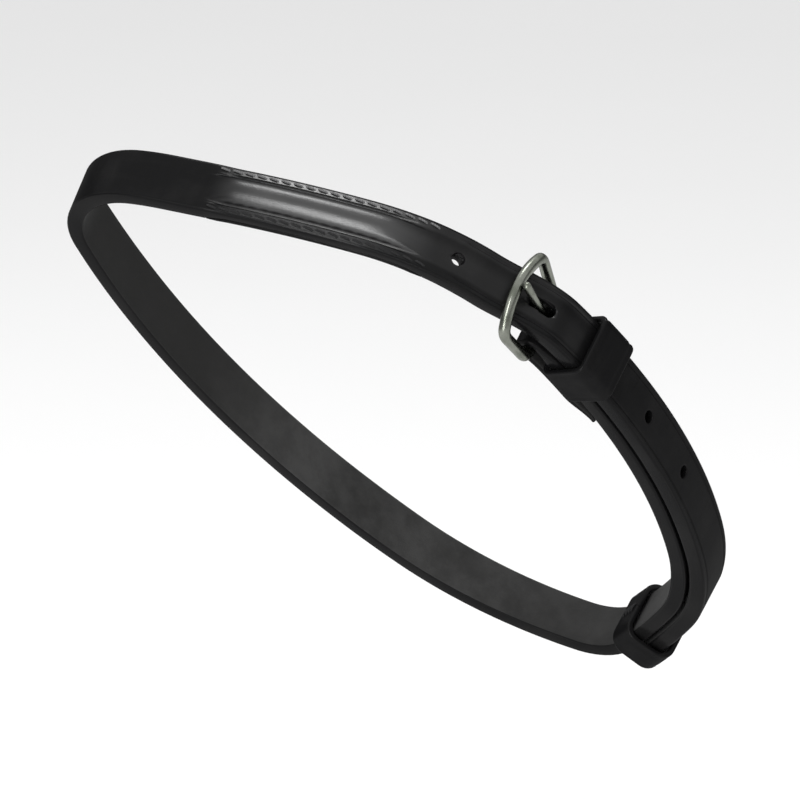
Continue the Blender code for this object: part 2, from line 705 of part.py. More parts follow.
def make_keepers(leather, thread):
    make_keeper("fixed_keeper", HEEL_BAR_DISTANCE + FIXED_KEEPER_AFTER_BAR, FIXED_KEEPER_WIDTH,
                (CLEARANCE, CLEARANCE, FIXED_KEEPER_PLAY), FIXED_KEEPER_CORNER, leather)
    make_keeper("loose_keeper", LOOSE_KEEPER_DISTANCE, LOOSE_KEEPER_WIDTH,
                (LOOSE_KEEPER_PLAY, LOOSE_KEEPER_SIDE_PLAY, LOOSE_KEEPER_PLAY),
                LOOSE_KEEPER_CORNER, leather)
    level = -FACE - LOOSE_KEEPER_PLAY - KEEPER_THICKNESS - CLEARANCE - THREAD_RADIUS
    span = LOOSE_KEEPER_WIDTH - 4 * KEEPER_BEVEL
    points = []
    for step in range(2 * BUTT_STITCHES):
        along = span * (step / (2 * BUTT_STITCHES - 1) - 1 / 2)
        side = BUTT_STITCH_REACH if step % 2 else -BUTT_STITCH_REACH
        points.append(place(LOOSE_KEEPER_DISTANCE + along, level, side))
    tube("loose_keeper_stitching", points, THREAD_RADIUS, thread, resolution=1)


for old in list(bpy.data.objects):
    bpy.data.objects.remove(old)
PARTS = bpy.data.collections.new("flash_nose_strap")
CUTTERS = bpy.data.collections.new("cutters")
for group in (PARTS, CUTTERS):
    bpy.context.scene.collection.children.link(group)


def main():
    black_leather = material("black_leather", (0.018, 0.018, 0.019), 0.38)
    flesh_leather = material("flesh_leather", (0.035, 0.035, 0.036), 0.75)
    black_thread = material("black_thread", (0.030, 0.030, 0.031), 0.6)
    fibre = material("filler_fibre", (0.10, 0.085, 0.07), 0.9)
    steel = material("stainless_steel", (0.55, 0.54, 0.51), 0.25, 1.0)
    make_strap(black_leather)
    make_lining(flesh_leather)
    make_filler(fibre)
    make_stitching(black_thread)
    make_frame(steel)
    make_tongue(steel)
    make_keepers(black_leather, black_thread)


main()
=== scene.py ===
# %% [markdown]
# # Dressing a flash strap
# A flash strap is a narrow band of black bridle leather that buckles into a loop round
# a horse's muzzle. The lesson starts from solids that are right in size and place, and
# gives each piece the surface that a saddler gives it: a padded, creased front, polished
# edges, waxed stitches, punched holes, two keepers and a steel wire buckle.

# %% Load the solids
from math import atan, ceil, cos, hypot, pi, radians, sin, sqrt, tan

import bmesh
import bpy
from mathutils import Matrix, Vector


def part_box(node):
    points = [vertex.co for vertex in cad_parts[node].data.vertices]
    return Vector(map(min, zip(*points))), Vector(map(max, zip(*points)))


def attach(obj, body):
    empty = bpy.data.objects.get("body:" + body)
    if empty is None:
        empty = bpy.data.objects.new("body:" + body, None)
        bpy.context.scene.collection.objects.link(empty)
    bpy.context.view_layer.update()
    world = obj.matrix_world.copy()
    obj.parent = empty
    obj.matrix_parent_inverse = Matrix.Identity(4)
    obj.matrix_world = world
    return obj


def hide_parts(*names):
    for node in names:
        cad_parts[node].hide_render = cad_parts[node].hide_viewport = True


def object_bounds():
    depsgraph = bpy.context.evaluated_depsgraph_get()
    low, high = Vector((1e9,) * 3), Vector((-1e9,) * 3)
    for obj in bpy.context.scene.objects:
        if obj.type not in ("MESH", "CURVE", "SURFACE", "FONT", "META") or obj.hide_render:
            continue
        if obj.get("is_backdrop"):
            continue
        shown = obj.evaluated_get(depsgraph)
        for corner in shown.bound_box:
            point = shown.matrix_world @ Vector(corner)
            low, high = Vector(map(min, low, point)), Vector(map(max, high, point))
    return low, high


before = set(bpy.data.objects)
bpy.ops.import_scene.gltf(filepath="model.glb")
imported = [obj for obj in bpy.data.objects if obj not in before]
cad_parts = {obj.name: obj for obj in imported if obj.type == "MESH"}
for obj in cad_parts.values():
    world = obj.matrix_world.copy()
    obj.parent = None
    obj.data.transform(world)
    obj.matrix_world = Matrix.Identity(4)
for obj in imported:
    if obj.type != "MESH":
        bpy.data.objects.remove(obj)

CAD_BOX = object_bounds()

# %% [markdown]
# ## Camera
# The strap is seen from its front left, a little from above, through a long lens, so
# that near and far leather look almost the same width. The camera could be aimed with a
# Track To constraint. Turning it by its two angles keeps the lesson plain, because the
# sideways and upward directions then follow from the same numbers.

# %% Place the camera
CAMERA_AZIMUTH = radians(39.99)
CAMERA_ELEVATION = radians(8.94)
CAMERA_PLACE = (1.0007, -1.1213, 0.1870)
CAMERA_LENS = 295.3
CAMERA_SENSOR = 36.0

camera_data = bpy.data.cameras.new("camera")
camera_data.lens = CAMERA_LENS
camera_data.sensor_width = CAMERA_SENSOR
camera = bpy.data.objects.new("camera", camera_data)
camera.location = CAMERA_PLACE
camera.rotation_euler = (pi / 2 - CAMERA_ELEVATION, 0, CAMERA_AZIMUTH)
bpy.context.scene.collection.objects.link(camera)
bpy.context.scene.camera = camera
bpy.context.scene.view_settings.view_transform = "Standard"

# %% [markdown]
# ## Shader maths as expressions
# A finish is a sum of small effects: grain, mottling, wear, a polished edge. Wiring
# dozens of Math nodes by hand hides that sum. One class wraps a socket and overloads
# the operators, so that `1 - mask` adds the node it needs, and one method adds every
# other node. The shader is then read like a formula.

# %% Wrap sockets and materials
DULL_ROUGHNESS = 0.8


class Wire:
    """An output socket whose operators add Math nodes."""

    def __init__(self, finish, socket):
        self.finish = finish
        self.socket = socket

    def maths(self, operation, *values):
        settings = {"operation": operation}
        return self.finish.node("ShaderNodeMath", settings, dict(enumerate(values)))

    def __add__(self, other):
        return self.maths("ADD", self, other)

    def __radd__(self, other):
        return self.maths("ADD", other, self)

    def __sub__(self, other):
        return self.maths("SUBTRACT", self, other)

    def __rsub__(self, other):
        return self.maths("SUBTRACT", other, self)

    def __mul__(self, other):
        return self.maths("MULTIPLY", self, other)

    def ramp(self, start, end, low=0.0, high=1.0):
        """A smooth rise from low to high while the value goes from start to end."""
        settings = {"interpolation_type": "SMOOTHSTEP"}
        values = {"Value": self, "From Min": start, "From Max": end, "To Min": low, "To Max": high}
        return self.finish.node("ShaderNodeMapRange", settings, values)


class Finish:
    """A material, its Principled shader, and one way to add any other node."""

    def __init__(self, name):
        self.material = bpy.data.materials.new(name)
        self.material.use_nodes = True
        self.nodes = self.material.node_tree.nodes
        self.shader = self.nodes["Principled BSDF"]

    def node(self, kind, settings=None, values=None, output=0):
        """Add a node: its settings first, then the values or links of its sockets."""
        made = self.nodes.new(kind)
        for name, value in (settings or {}).items():
            setattr(made, name, value)
        for name, value in (values or {}).items():
            self.feed(made.inputs[name], value)
        return Wire(self, made.outputs[output])

    def feed(self, socket, value):
        if isinstance(value, Wire):
            self.material.node_tree.links.new(value.socket, socket)
        else:
            socket.default_value = value

    def set(self, **sockets):
        """Set or link sockets of the Principled shader, written with underscores."""
        for name, value in sockets.items():
            self.feed(self.shader.inputs[name.replace("_", " ")], value)
        return self.material

    def dulled(self, polish, colour, normal):
        """Mix in a shader with no gloss of its own wherever the polish is low."""
        sockets = {"Base Color": colour, "Normal": normal, "Specular IOR Level": 0.0}
        dull = self.node("ShaderNodeBsdfPrincipled", None, {**sockets, "Roughness": DULL_ROUGHNESS})
        shiny = Wire(self, self.shader.outputs[0])
        mixed = self.node("ShaderNodeMixShader", None, {0: polish, 1: dull, 2: shiny})
        self.feed(self.nodes["Material Output"].inputs["Surface"], mixed)

    def place(self):
        return self.node("ShaderNodeTexCoord", output="Object")

    def strip(self):
        """The piece's own map, and from it the metres along the piece and to the side."""
        flat = self.node("ShaderNodeUVMap", {"uv_map": "strip"})
        parts = [self.node("ShaderNodeSeparateXYZ", None, {"Vector": flat}, axis) for axis in "XY"]
        return flat, *parts

    def noise(self, vector, scale, detail=3.0, roughness=0.5):
        values = {"Vector": vector, "Scale": scale, "Detail": detail, "Roughness": roughness}
        return self.node("ShaderNodeTexNoise", None, values)

    def cells(self, vector, scale):
        values = {"Vector": vector, "Scale": scale}
        return self.node("ShaderNodeTexVoronoi", {"feature": "SMOOTH_F1"}, values)

    def stretched(self, vector, along, side):
        return self.node("ShaderNodeMapping", None, {"Vector": vector, "Scale": (along, side, 1)})

    def mixed(self, share, first, second):
        settings = {"data_type": "RGBA"}
        values = {0: share, 6: (*first, 1), 7: (*second, 1)}
        return self.node("ShaderNodeMix", settings, values, 2)

    def bumps(self, height, distance, below=None, strength=1.0):
        values = {"Height": height, "Distance": distance, "Strength": strength}
        if below:
            values["Normal"] = below
        return self.node("ShaderNodeBump", None, values)


# %% [markdown]
# ## Stage and light
# Black leather shows what stands round it, so the room matters as much as the lamps. A
# pale floor lies under the strap, and the world is pale at the horizon and dim above.
# A large soft light overhead lights the floor and the leather evenly. A real studio adds
# tall, narrow boxes for gloss, so one stands in front and draws the long highlight on the
# padded front, a low, flat one beside it carries that highlight on towards the buckle,
# and one overhead, a little behind, picks out the strip above the padding. Together they
# light a surface at about the level at which its colour renders as it is written.

# %% Build the stage
FLOOR_LEVEL = -0.165
FLOOR_RADIUS = 9.0
FLOOR_COLOUR = (0.95, 0.95, 0.95)
FLOOR_SIDES = 96
HORIZON_GREY = 0.60
ZENITH_GREY = 0.17
HORIZON_BAND = (0.02, 0.30)


def add_floor():
    bm = bmesh.new()
    bmesh.ops.create_circle(bm, cap_ends=True, radius=FLOOR_RADIUS, segments=FLOOR_SIDES)
    bmesh.ops.translate(bm, verts=bm.verts, vec=(0, 0, FLOOR_LEVEL))
    mesh = bpy.data.meshes.new("floor")
    bm.to_mesh(mesh)
    bm.free()
    floor = bpy.data.objects.new("floor", mesh)
    bpy.context.scene.collection.objects.link(floor)
    finish = Finish("floor")
    cloud = finish.noise(finish.place(), 3.0)
    colour = finish.mixed(cloud, FLOOR_COLOUR, [c * 0.98 for c in FLOOR_COLOUR])
    mesh.materials.append(finish.set(Base_Color=colour, Roughness=0.9, Specular_IOR_Level=0.1))
    floor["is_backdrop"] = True


def add_world():
    """A room that is pale at the horizon and dimmer overhead, alike for every ray."""
    world = bpy.data.worlds.new("room")
    world.use_nodes = True
    nodes, links = world.node_tree.nodes, world.node_tree.links
    coords = nodes.new("ShaderNodeTexCoord")
    parts = nodes.new("ShaderNodeSeparateXYZ")
    ramp = nodes.new("ShaderNodeMapRange")
    ramp.interpolation_type = "SMOOTHSTEP"
    values = (*HORIZON_BAND, HORIZON_GREY, ZENITH_GREY)
    for name, value in zip(("From Min", "From Max", "To Min", "To Max"), values):
        ramp.inputs[name].default_value = value
    links.new(coords.outputs["Generated"], parts.inputs[0])
    links.new(parts.outputs["Z"], ramp.inputs["Value"])
    links.new(ramp.outputs[0], nodes["Background"].inputs["Color"])
    bpy.context.scene.world = world


def add_lamp(name, azimuth, elevation, distance, size, power):
    """A soft box, or a round sky light where size is an angle, facing the strap."""
    data = bpy.data.lights.new(name, "AREA" if distance else "SUN")
    if distance:
        data.shape = "RECTANGLE"
        data.size, data.size_y = size
    else:
        data.angle = radians(size)
    data.energy = power
    lamp = bpy.data.objects.new(name, data)
    turn, rise = radians(azimuth), radians(elevation)
    away = Vector((sin(turn) * cos(rise), -cos(turn) * cos(rise), sin(rise)))
    middle = (CAD_BOX[0] + CAD_BOX[1]) / 2
    lamp.location = middle + away * distance
    lamp.rotation_euler = (pi / 2 - rise, 0, turn)
    bpy.context.scene.collection.objects.link(lamp)


add_floor()
add_world()
add_lamp("sky_light", 30, 80, 0.0, 130, 2.0)
add_lamp("tall_box", 14, 22, 1.3, (0.14, 1.00), 7.5)
add_lamp("low_box", 28, 4, 1.3, (0.40, 0.14), 1.5)
add_lamp("top_box", 230, 79, 1.3, (0.35, 0.35), 4.5)
print("stage: a floor, a room, a sky light and three soft boxes")

# %% [markdown]
# ## The line that the leather follows
# Leather that hangs in a loop bends in smooth arcs. The middle of the strap is a chain
# of arcs in one sloping plane, each with a turn and a radius, as a maker would measure
# them with a template. Two of the radii are left open and follow from closing the loop.
# A Bezier curve could be drawn by eye instead, but it couldn't be checked against sizes.

# %% Lay the loop
STRAP_WIDTH = 0.0130
STRAP_THICKNESS = 0.0041
BILLET_THICKNESS = 0.0043
LAYER_GAP = 0.0008
CLEARANCE = 0.0003
PLANE_TILT = 45.0
PLANE_YAW = 12.0
SEAT_LENGTH = 0.0160
SEAT_HEADING = 12.0
ARCS = {"front": (7.0, 0.2700), "shoulder": (49.0, 0.0560), "chape": (31.0, None),
        "side": (17.0, 0.0650), "elbow": (16.0, 0.0340), "keeper": (7.0, 0.1900),
        "corner": (65.0, 0.0140), "under": (32.0, 0.0880), "far": (32.0, None),
        "bend": (96.0, 0.0190), "return": (8.0, 0.0590)}
LEAN_SHARES = ((0.0, 4.0), (0.06, 4.0), (0.20, 6.0), (0.51, 6.0), (0.66, -3.0),
               (0.84, -3.0), (0.98, 4.0), (1.0, 4.0))

tilt, yaw = radians(PLANE_TILT), radians(PLANE_YAW)
RIGHT = Vector((cos(yaw), sin(yaw), 0))
DOWN = Vector((-sin(yaw), cos(yaw), 0)) * cos(tilt) - Vector((0, 0, sin(tilt)))
FRONT = DOWN.cross(RIGHT)


def smooth(share):
    share = min(max(share, 0.0), 1.0)
    return share * share * (3 - 2 * share)


def arc_move(heading, turn):
    return Vector((sin(heading + turn) - sin(heading), cos(heading) - cos(heading + turn)))


def lay_loop():
    """Each stretch of the loop: its start, its first point, heading, length and radius."""
    heading = radians(SEAT_HEADING)
    ahead = Vector((cos(heading), sin(heading)))
    reached, open_moves = ahead * SEAT_LENGTH, []
    for turn, radius in ARCS.values():
        move = arc_move(heading, radians(turn))
        heading += radians(turn)
        if radius:
            reached = reached + move * radius
        else:
            open_moves.append(move)
    first, second = open_moves
    columns = Matrix(((first.x, second.x), (first.y, second.y)))
    found = list(columns.inverted() @ -reached)
    heading, point, start = radians(SEAT_HEADING), Vector((0, 0)), SEAT_LENGTH / 2
    stretches = [(0.0, point, heading, SEAT_LENGTH / 2, None)]
    point = ahead * SEAT_LENGTH / 2
    for turn, radius in ARCS.values():
        radius = radius or found.pop(0)
        length = radius * radians(turn)
        stretches.append((start, point, heading, length, radius))
        point = point + arc_move(heading, radians(turn)) * radius
        heading += radians(turn)
        start += length
    stretches.append((start, point, heading, SEAT_LENGTH / 2, None))
    return stretches, start + SEAT_LENGTH / 2


STRETCHES, LOOP_LENGTH = lay_loop()
STARTS = {name: stretch[0] for name, stretch in zip(ARCS, STRETCHES[1:])}
LOOSE_KEEPER_WIDTH = 0.0085
LOOSE_KEEPER_BEFORE_CORNER = 0.0001
LOOSE_KEEPER_DISTANCE = STARTS["corner"] - LOOSE_KEEPER_BEFORE_CORNER - LOOSE_KEEPER_WIDTH / 2


def axes(distance):
    """The middle of the leather, and the directions along, across and out."""
    on_loop = distance % LOOP_LENGTH
    start, point, heading, _, radius = [s for s in STRETCHES if s[0] <= on_loop][-1]
    travelled = on_loop - start
    if radius:
        point = point + arc_move(heading, travelled / radius) * radius
        heading += travelled / radius
    else:
        point = point + Vector((cos(heading), sin(heading))) * travelled
    share = on_loop / LOOP_LENGTH
    for (near, before), (far, after) in zip(LEAN_SHARES, LEAN_SHARES[1:]):
        if near <= share <= far:
            lean = radians(before + (after - before) * smooth((share - near) / (far - near)))
    away = RIGHT * sin(heading) - DOWN * cos(heading)
    across = FRONT * cos(lean) - away * sin(lean)
    out = away * cos(lean) + FRONT * sin(lean)
    middle, ahead = RIGHT * point.x + DOWN * point.y, RIGHT * cos(heading) + DOWN * sin(heading)
    return middle, ahead, across, out


def place(distance, out=0.0, across=0.0):
    middle, _, sideways, outwards = axes(distance)
    return middle + outwards * out + sideways * across


print(f"loop: {LOOP_LENGTH * 1000:.1f} mm round, facing", [round(v, 2) for v in FRONT])

# %% [markdown]
# ## Sweeping a section
# Straps, bands, wires and threads are all one section carried along a line. A curve with
# a bevel object can do it, but only with one section for the whole length. Here a ring
# of edges is extruded from station to station, so the section may swell, thin or taper
# on its way. Each point also keeps its place along and across the piece in a map, which
# the finishes read.

# %% Define the sweep
LOBE_DEPTH_SHARE = 0.28
SHARP_ANGLE = 38.0
TINY = CLEARANCE / 100


def sweep(name, rings, marks, slots=None, closed=False, sharp=SHARP_ANGLE):
    """A closed solid through rings of points. Each mark is a place along and to the side."""
    bm = bmesh.new()
    along, side = (bm.verts.layers.float.new(layer) for layer in ("along", "side"))
    ring = bmesh.ops.create_circle(bm, segments=len(rings[0]), radius=1.0)["verts"]
    first, edges = ring, bm.edges[:]
    first_edges = edges
    for step, (points, values) in enumerate(zip(rings, marks)):
        if step:
            made = bmesh.ops.extrude_edge_only(bm, edges=edges)["geom"]
            fresh = {item for item in made if isinstance(item, bmesh.types.BMVert)}
            edges = [item for item in made if isinstance(item, bmesh.types.BMEdge)
                     and item.verts[0] in fresh and item.verts[1] in fresh]
            ring = [next(edge.other_vert(old) for edge in old.link_edges
                         if edge.other_vert(old) in fresh) for old in ring]
            for slot, pair in zip(slots or (), zip(ring, ring[1:] + ring[:1])):
                bm.edges.get(pair).link_faces[0].material_index = slot
        for vert, point, (length, width) in zip(ring, points, values):
            vert.co, vert[along], vert[side] = point, length, width
    if closed:
        bmesh.ops.bridge_loops(bm, edges=edges + first_edges)
    else:
        for end in (edges, first_edges):
            bmesh.ops.contextual_create(bm, geom=end)
    strip = bm.loops.layers.uv.new("strip")
    for face in bm.faces:
        for loop in face.loops:
            loop[strip].uv = (loop.vert[along], loop.vert[side])
    bmesh.ops.recalc_face_normals(bm, faces=bm.faces)
    return into_object(name, bm, sharp)


def into_object(name, bm, sharp=SHARP_ANGLE):
    mesh = bpy.data.meshes.new(name)
    bm.to_mesh(mesh)
    bm.free()
    mesh.shade_smooth()
    mesh.set_sharp_from_angle(angle=radians(sharp))
    piece = bpy.data.objects.new(name, mesh)
    bpy.context.scene.collection.objects.link(piece)
    return piece


def dress(piece, *finishes):
    for finish in finishes:
        piece.data.materials.append(finish)


def evenly(start, end, step):
    """Distances from start to end, no further apart than the step."""
    count = max(ceil(abs(end - start) / step), 1)
    return [start + (end - start) * k / count for k in range(count + 1)]


def wire_rings(points, radius_at, sides, closed=False, twist_at=None, lobes=0):
    """Round sections square to a line of points, carried along without twisting."""
    count = len(points)
    rings, marks, reached, normal = [], [], 0.0, None
    for k, point in enumerate(points):
        before = points[k - 1] if k or closed else point
        after = points[(k + 1) % count] if k < count - 1 or closed else point
        ahead = (after - before).normalized()
        normal = ahead.orthogonal() if normal is None else normal - ahead * normal.dot(ahead)
        normal.normalize()
        second = ahead.cross(normal)
        reached += (point - points[k - 1]).length if k else 0.0
        radius, turned = radius_at(reached), twist_at(reached) if twist_at else 0.0
        ring = []
        for side in range(sides):
            angle = 2 * pi * side / sides
            reach = radius * (1 - LOBE_DEPTH_SHARE * (1 - cos(lobes * angle)) / 2)
            way = normal * cos(angle + turned) + second * sin(angle + turned)
            ring.append(point + way * reach)
        rings.append(ring)
        marks.append([(reached, radius * sin(2 * pi * side / sides)) for side in range(sides)])
    return rings, marks


# %% [markdown]
# ## The strip of leather
# One strip makes the whole loop. It starts thin where it is turned back under the
# buckle, folds round the heel bar, runs round the loop, swells over a filler on the
# front, and ends in a pointed billet that passes the buckle and the keepers. A plank
# with a Curve modifier would give the line, but not the changes of thickness, so each
# station gets its own section. Its grain side, its two rounded edges and its flesh side
# keep their own places in the ring, and so can take their own finishes.

# %% Shape the section
EDGE_ROUND = 0.0007
FLESH_ROUND = 0.0008
EDGE_STEPS = 4
FLESH_STEPS = 6
FLESH_TURNS = 2
DOME_HALF_WIDTH = 0.0034
DOME_RISE = 0.0019
DOME_ANGLES = (72, 58, 44, 30, 15)
GROOVE_HALF_WIDTH = 0.0005
GROOVE_DEPTH = 0.0005
GROOVE_SHARES = (2.0, 1.5, 1.0, 0.5, 0.0)
STRIP_DROP = 0.0005
CREASE_INSET = 0.0017
CREASE_HALF_WIDTH = 0.00035
CREASE_DEPTH = 0.00022
CREASE_SHARES = (1.9, 1.0, 0.5, 0.0, -0.5, -1.0)
THINNEST_SHARE = 2.2
GRAIN, EDGE, FLESH = 0, 1, 2

HALF_WIDTH = STRAP_WIDTH / 2
FACE = STRAP_THICKNESS / 2
GROOVE_END = DOME_HALF_WIDTH + 2 * GROOVE_HALF_WIDTH
CREASE_PLACE = HALF_WIDTH - CREASE_INSET


def grain_places():
    """Places across the grain side, close together at the creases, grooves and dome."""
    half = [HALF_WIDTH - EDGE_ROUND]
    half += [CREASE_PLACE + CREASE_HALF_WIDTH * share for share in CREASE_SHARES]
    half += [DOME_HALF_WIDTH + GROOVE_HALF_WIDTH * share for share in GROOVE_SHARES]
    half += [DOME_HALF_WIDTH * sin(radians(angle)) for angle in DOME_ANGLES]
    return [-x for x in half] + [0.0] + half[::-1]


GRAIN_PLACES = grain_places()


def strip_drop(x):
    """How far the leather falls away beside the dome, towards its edges."""
    return STRIP_DROP * max(abs(x) - GROOVE_END, 0.0) / (HALF_WIDTH - GROOVE_END)


def swell(x, raised, creased):
    """The dome and the grooves along it, or the creases near the edges of the billet."""
    share = abs(x) / DOME_HALF_WIDTH
    if share < 1:
        return raised * DOME_RISE * sqrt(1 - share * share)
    past = (abs(x) - DOME_HALF_WIDTH) / (2 * GROOVE_HALF_WIDTH)
    near = 1 - min(abs(abs(x) - CREASE_PLACE) / CREASE_HALF_WIDTH, 1.0)
    fall = GROOVE_DEPTH * sin(pi * min(past, 1.0)) + strip_drop(x)
    return -raised * fall - creased * CREASE_DEPTH * smooth(near)


def section(half, low, high, raised=0.0, creased=0.0):
    """Points round a strap: the grain side, one edge, the flesh side, the other edge."""
    most = min((high - low) / THINNEST_SHARE, half / 2)
    off, soft = min(EDGE_ROUND, most), min(FLESH_ROUND, most)
    scale = (half - off) / (HALF_WIDTH - EDGE_ROUND)
    points = [(x * scale, high + swell(x, raised, creased)) for x in GRAIN_PLACES]
    turn = [radians(90 * step / EDGE_STEPS) for step in range(1, EDGE_STEPS + 1)]
    inner, under, top, bottom = half - off, half - soft, points[0][1] - off, low + soft
    points += [(inner + off * sin(a), top + off * cos(a)) for a in turn]
    points += [(under + soft * cos(a), bottom - soft * sin(a)) for a in [0.0] + turn]
    points += [(under - 2 * under * step / FLESH_STEPS, low) for step in range(1, FLESH_STEPS)]
    points += [(-under - soft * sin(a), bottom - soft * cos(a)) for a in [0.0] + turn]
    points += [(-inner - off * cos(a), top + off * sin(a)) for a in [0.0] + turn[:-1]]
    return points


def section_slots():
    edge = [EDGE] * (2 * EDGE_STEPS + 1 - FLESH_TURNS)
    flesh = [FLESH] * (FLESH_STEPS + 2 * FLESH_TURNS)
    return [GRAIN] * (len(GRAIN_PLACES) - 1) + edge + flesh + edge


print("section:", len(section(HALF_WIDTH, -FACE, FACE)), "points,", len(section_slots()), "sides")

# %% [markdown]
# The levels of the layers follow from the thicknesses. Under the buckle the strip lies
# double: its skived end comes back on the inner side, with a band of the fixed keeper
# between the two. The billet lies on top, and climbs to that level just before the
# buckle.

# %% Work out the levels
HEEL_BAR_DISTANCE = 0.0910
WIRE_RADIUS = 0.0014
FOLD_THICKNESS = 0.0020
SKIVE_LENGTH = 0.0070
TURN_BACK_LENGTH = 0.0280
TURN_BACK_THICKNESS = 0.0018
TURN_BACK_TIP = 0.0010
KEEPER_THICKNESS = 0.0015
FIXED_KEEPER_WIDTH = 0.0110
FIXED_KEEPER_AFTER_BAR = 0.0122
RAISE_START = 0.0015
RAISE_END = 0.0590
RAISE_RAMP = 0.0080
RAISE_END_RAMP = 0.0140
LINING_THICKNESS = 0.0012
LINING_SKIVE = 0.0050
LINING_TIP = 0.0004
LINING_MARGIN = 0.0020
BILLET_CLIMB = 0.0200
BILLET_TIP_PAST_KEEPER = 0.0080
BILLET_TIP_DISTANCE = LOOSE_KEEPER_DISTANCE + BILLET_TIP_PAST_KEEPER
POINT_LENGTH = 0.0130
POINT_HALF_WIDTH = 0.0012

FOLD_RADIUS = WIRE_RADIUS + CLEARANCE + FOLD_THICKNESS / 2
BAR_OUT = -FOLD_RADIUS
BILLET_OUT = FACE + LAYER_GAP + BILLET_THICKNESS / 2
LINING_START = RAISE_START + LINING_MARGIN
LINING_END = RAISE_END - LINING_MARGIN
KEEPER_NEAR = FIXED_KEEPER_AFTER_BAR - FIXED_KEEPER_WIDTH / 2
KEEPER_FAR = FIXED_KEEPER_AFTER_BAR + FIXED_KEEPER_WIDTH / 2 + LAYER_GAP
BUCKLE_PASS = LOOP_LENGTH + HEEL_BAR_DISTANCE
BILLET_TIP = LOOP_LENGTH + BILLET_TIP_DISTANCE


def raised_share(distance):
    rise = smooth((distance - RAISE_START) / RAISE_RAMP)
    return rise * smooth((RAISE_END - distance) / RAISE_END_RAMP)


def lining_depth(distance):
    """How deep the strap's back is cut away for the lining, which fills the cut."""
    reach = min(distance - LINING_START, LINING_END - distance)
    opened = min(max(reach / CLEARANCE + 1, 0.0), 1.0)
    share = min(max(reach / LINING_SKIVE, 0.0), 1.0)
    return opened * (LINING_TIP + (LINING_THICKNESS - LINING_TIP) * share)


def billet_out(distance):
    return BILLET_OUT * smooth((distance - (BUCKLE_PASS - BILLET_CLIMB)) / BILLET_CLIMB)


def turn_back_faces(reach):
    """Inner and outer face of the turned-back end, at a reach past the heel bar."""
    fold_outer = BAR_OUT - WIRE_RADIUS - CLEARANCE
    under_keeper = -FACE - KEEPER_THICKNESS - 2 * CLEARANCE
    at_tip = -FACE - CLEARANCE
    from_fold = smooth(reach / KEEPER_NEAR)
    past = smooth((reach - KEEPER_FAR) / (TURN_BACK_LENGTH - KEEPER_FAR))
    outer = fold_outer + (under_keeper - fold_outer) * from_fold + (at_tip - under_keeper) * past
    thickness = FOLD_THICKNESS + (TURN_BACK_THICKNESS - FOLD_THICKNESS) * from_fold
    thickness += (TURN_BACK_TIP - TURN_BACK_THICKNESS) * past
    return outer - thickness, outer


# %% Sweep the strip
STATION_STEP = 0.0013
FOLD_STATIONS = 18
TIP_STATIONS = 14


class Strip:
    """Collects the strip's stations in order, with their map of metres along it."""

    def __init__(self):
        self.rings, self.marks, self.middle = [], [], None
        self.reached = 0.0

    def add(self, points, ring, along=None):
        middle = sum(ring, Vector()) / len(ring)
        if self.middle is not None:
            self.reached += (middle - self.middle).length
        self.middle = middle
        length = self.reached if along is None else along
        self.rings.append(ring)
        self.marks.append([(length, x) for x, _ in points])

    def level(self, distance, out, points):
        self.add(points, [place(distance, out + z, x) for x, z in points], distance)


def lay_strip():
    strip = Strip()
    for reach in evenly(TURN_BACK_LENGTH, 0.0, STATION_STEP)[:-1]:
        low, high = turn_back_faces(reach)
        points = section(HALF_WIDTH, -high, -low)
        ring = [place(HEEL_BAR_DISTANCE + reach, -z, x) for x, z in points]
        strip.add(points, ring, HEEL_BAR_DISTANCE - reach - pi * FOLD_RADIUS)
    middle, ahead, across, out = axes(HEEL_BAR_DISTANCE)
    points = section(HALF_WIDTH, -FOLD_THICKNESS / 2, FOLD_THICKNESS / 2)
    for step in range(FOLD_STATIONS):
        share = step / FOLD_STATIONS
        turned = radians(270 - 180 * share)
        away = ahead * cos(turned) + out * sin(turned)
        ring = [middle + out * BAR_OUT + across * x + away * (FOLD_RADIUS + z) for x, z in points]
        strip.add(points, ring, HEEL_BAR_DISTANCE - pi * FOLD_RADIUS * (1 - share))
    corners = [LINING_START - CLEARANCE, LINING_START, LINING_END, LINING_END + CLEARANCE]
    corners = [LOOP_LENGTH + corner for corner in corners]
    stations = [d for d in evenly(HEEL_BAR_DISTANCE, BILLET_TIP - POINT_LENGTH, STATION_STEP)
                if min(abs(d - corner) for corner in corners) > CLEARANCE]
    for distance in sorted(stations + corners):
        on_front = distance - LOOP_LENGTH
        raised = raised_share(on_front)
        skived = smooth((distance - HEEL_BAR_DISTANCE) / SKIVE_LENGTH)
        thickness = FOLD_THICKNESS + (STRAP_THICKNESS - FOLD_THICKNESS) * skived
        thinned = smooth((on_front - RAISE_END) / SKIVE_LENGTH)
        thickness += (BILLET_THICKNESS - STRAP_THICKNESS) * thinned
        low = -thickness / 2 + lining_depth(on_front)
        points = section(HALF_WIDTH, low, thickness / 2, raised, thinned)
        strip.level(distance, billet_out(distance), points)
    for step in range(1, TIP_STATIONS + 1):
        share = sin(pi / 2 * step / TIP_STATIONS)
        half = POINT_HALF_WIDTH + (HALF_WIDTH - POINT_HALF_WIDTH) * sqrt(1 - share * share)
        points = section(half, -BILLET_THICKNESS / 2, BILLET_THICKNESS / 2, creased=1.0)
        strip.level(BILLET_TIP - POINT_LENGTH * (1 - share), BILLET_OUT, points)
    return strip


strip = lay_strip()
leather_strip = sweep("strap_leather", strip.rings, strip.marks, section_slots())
print("strip:", len(strip.rings), "stations,", len(leather_strip.data.polygons), "faces")

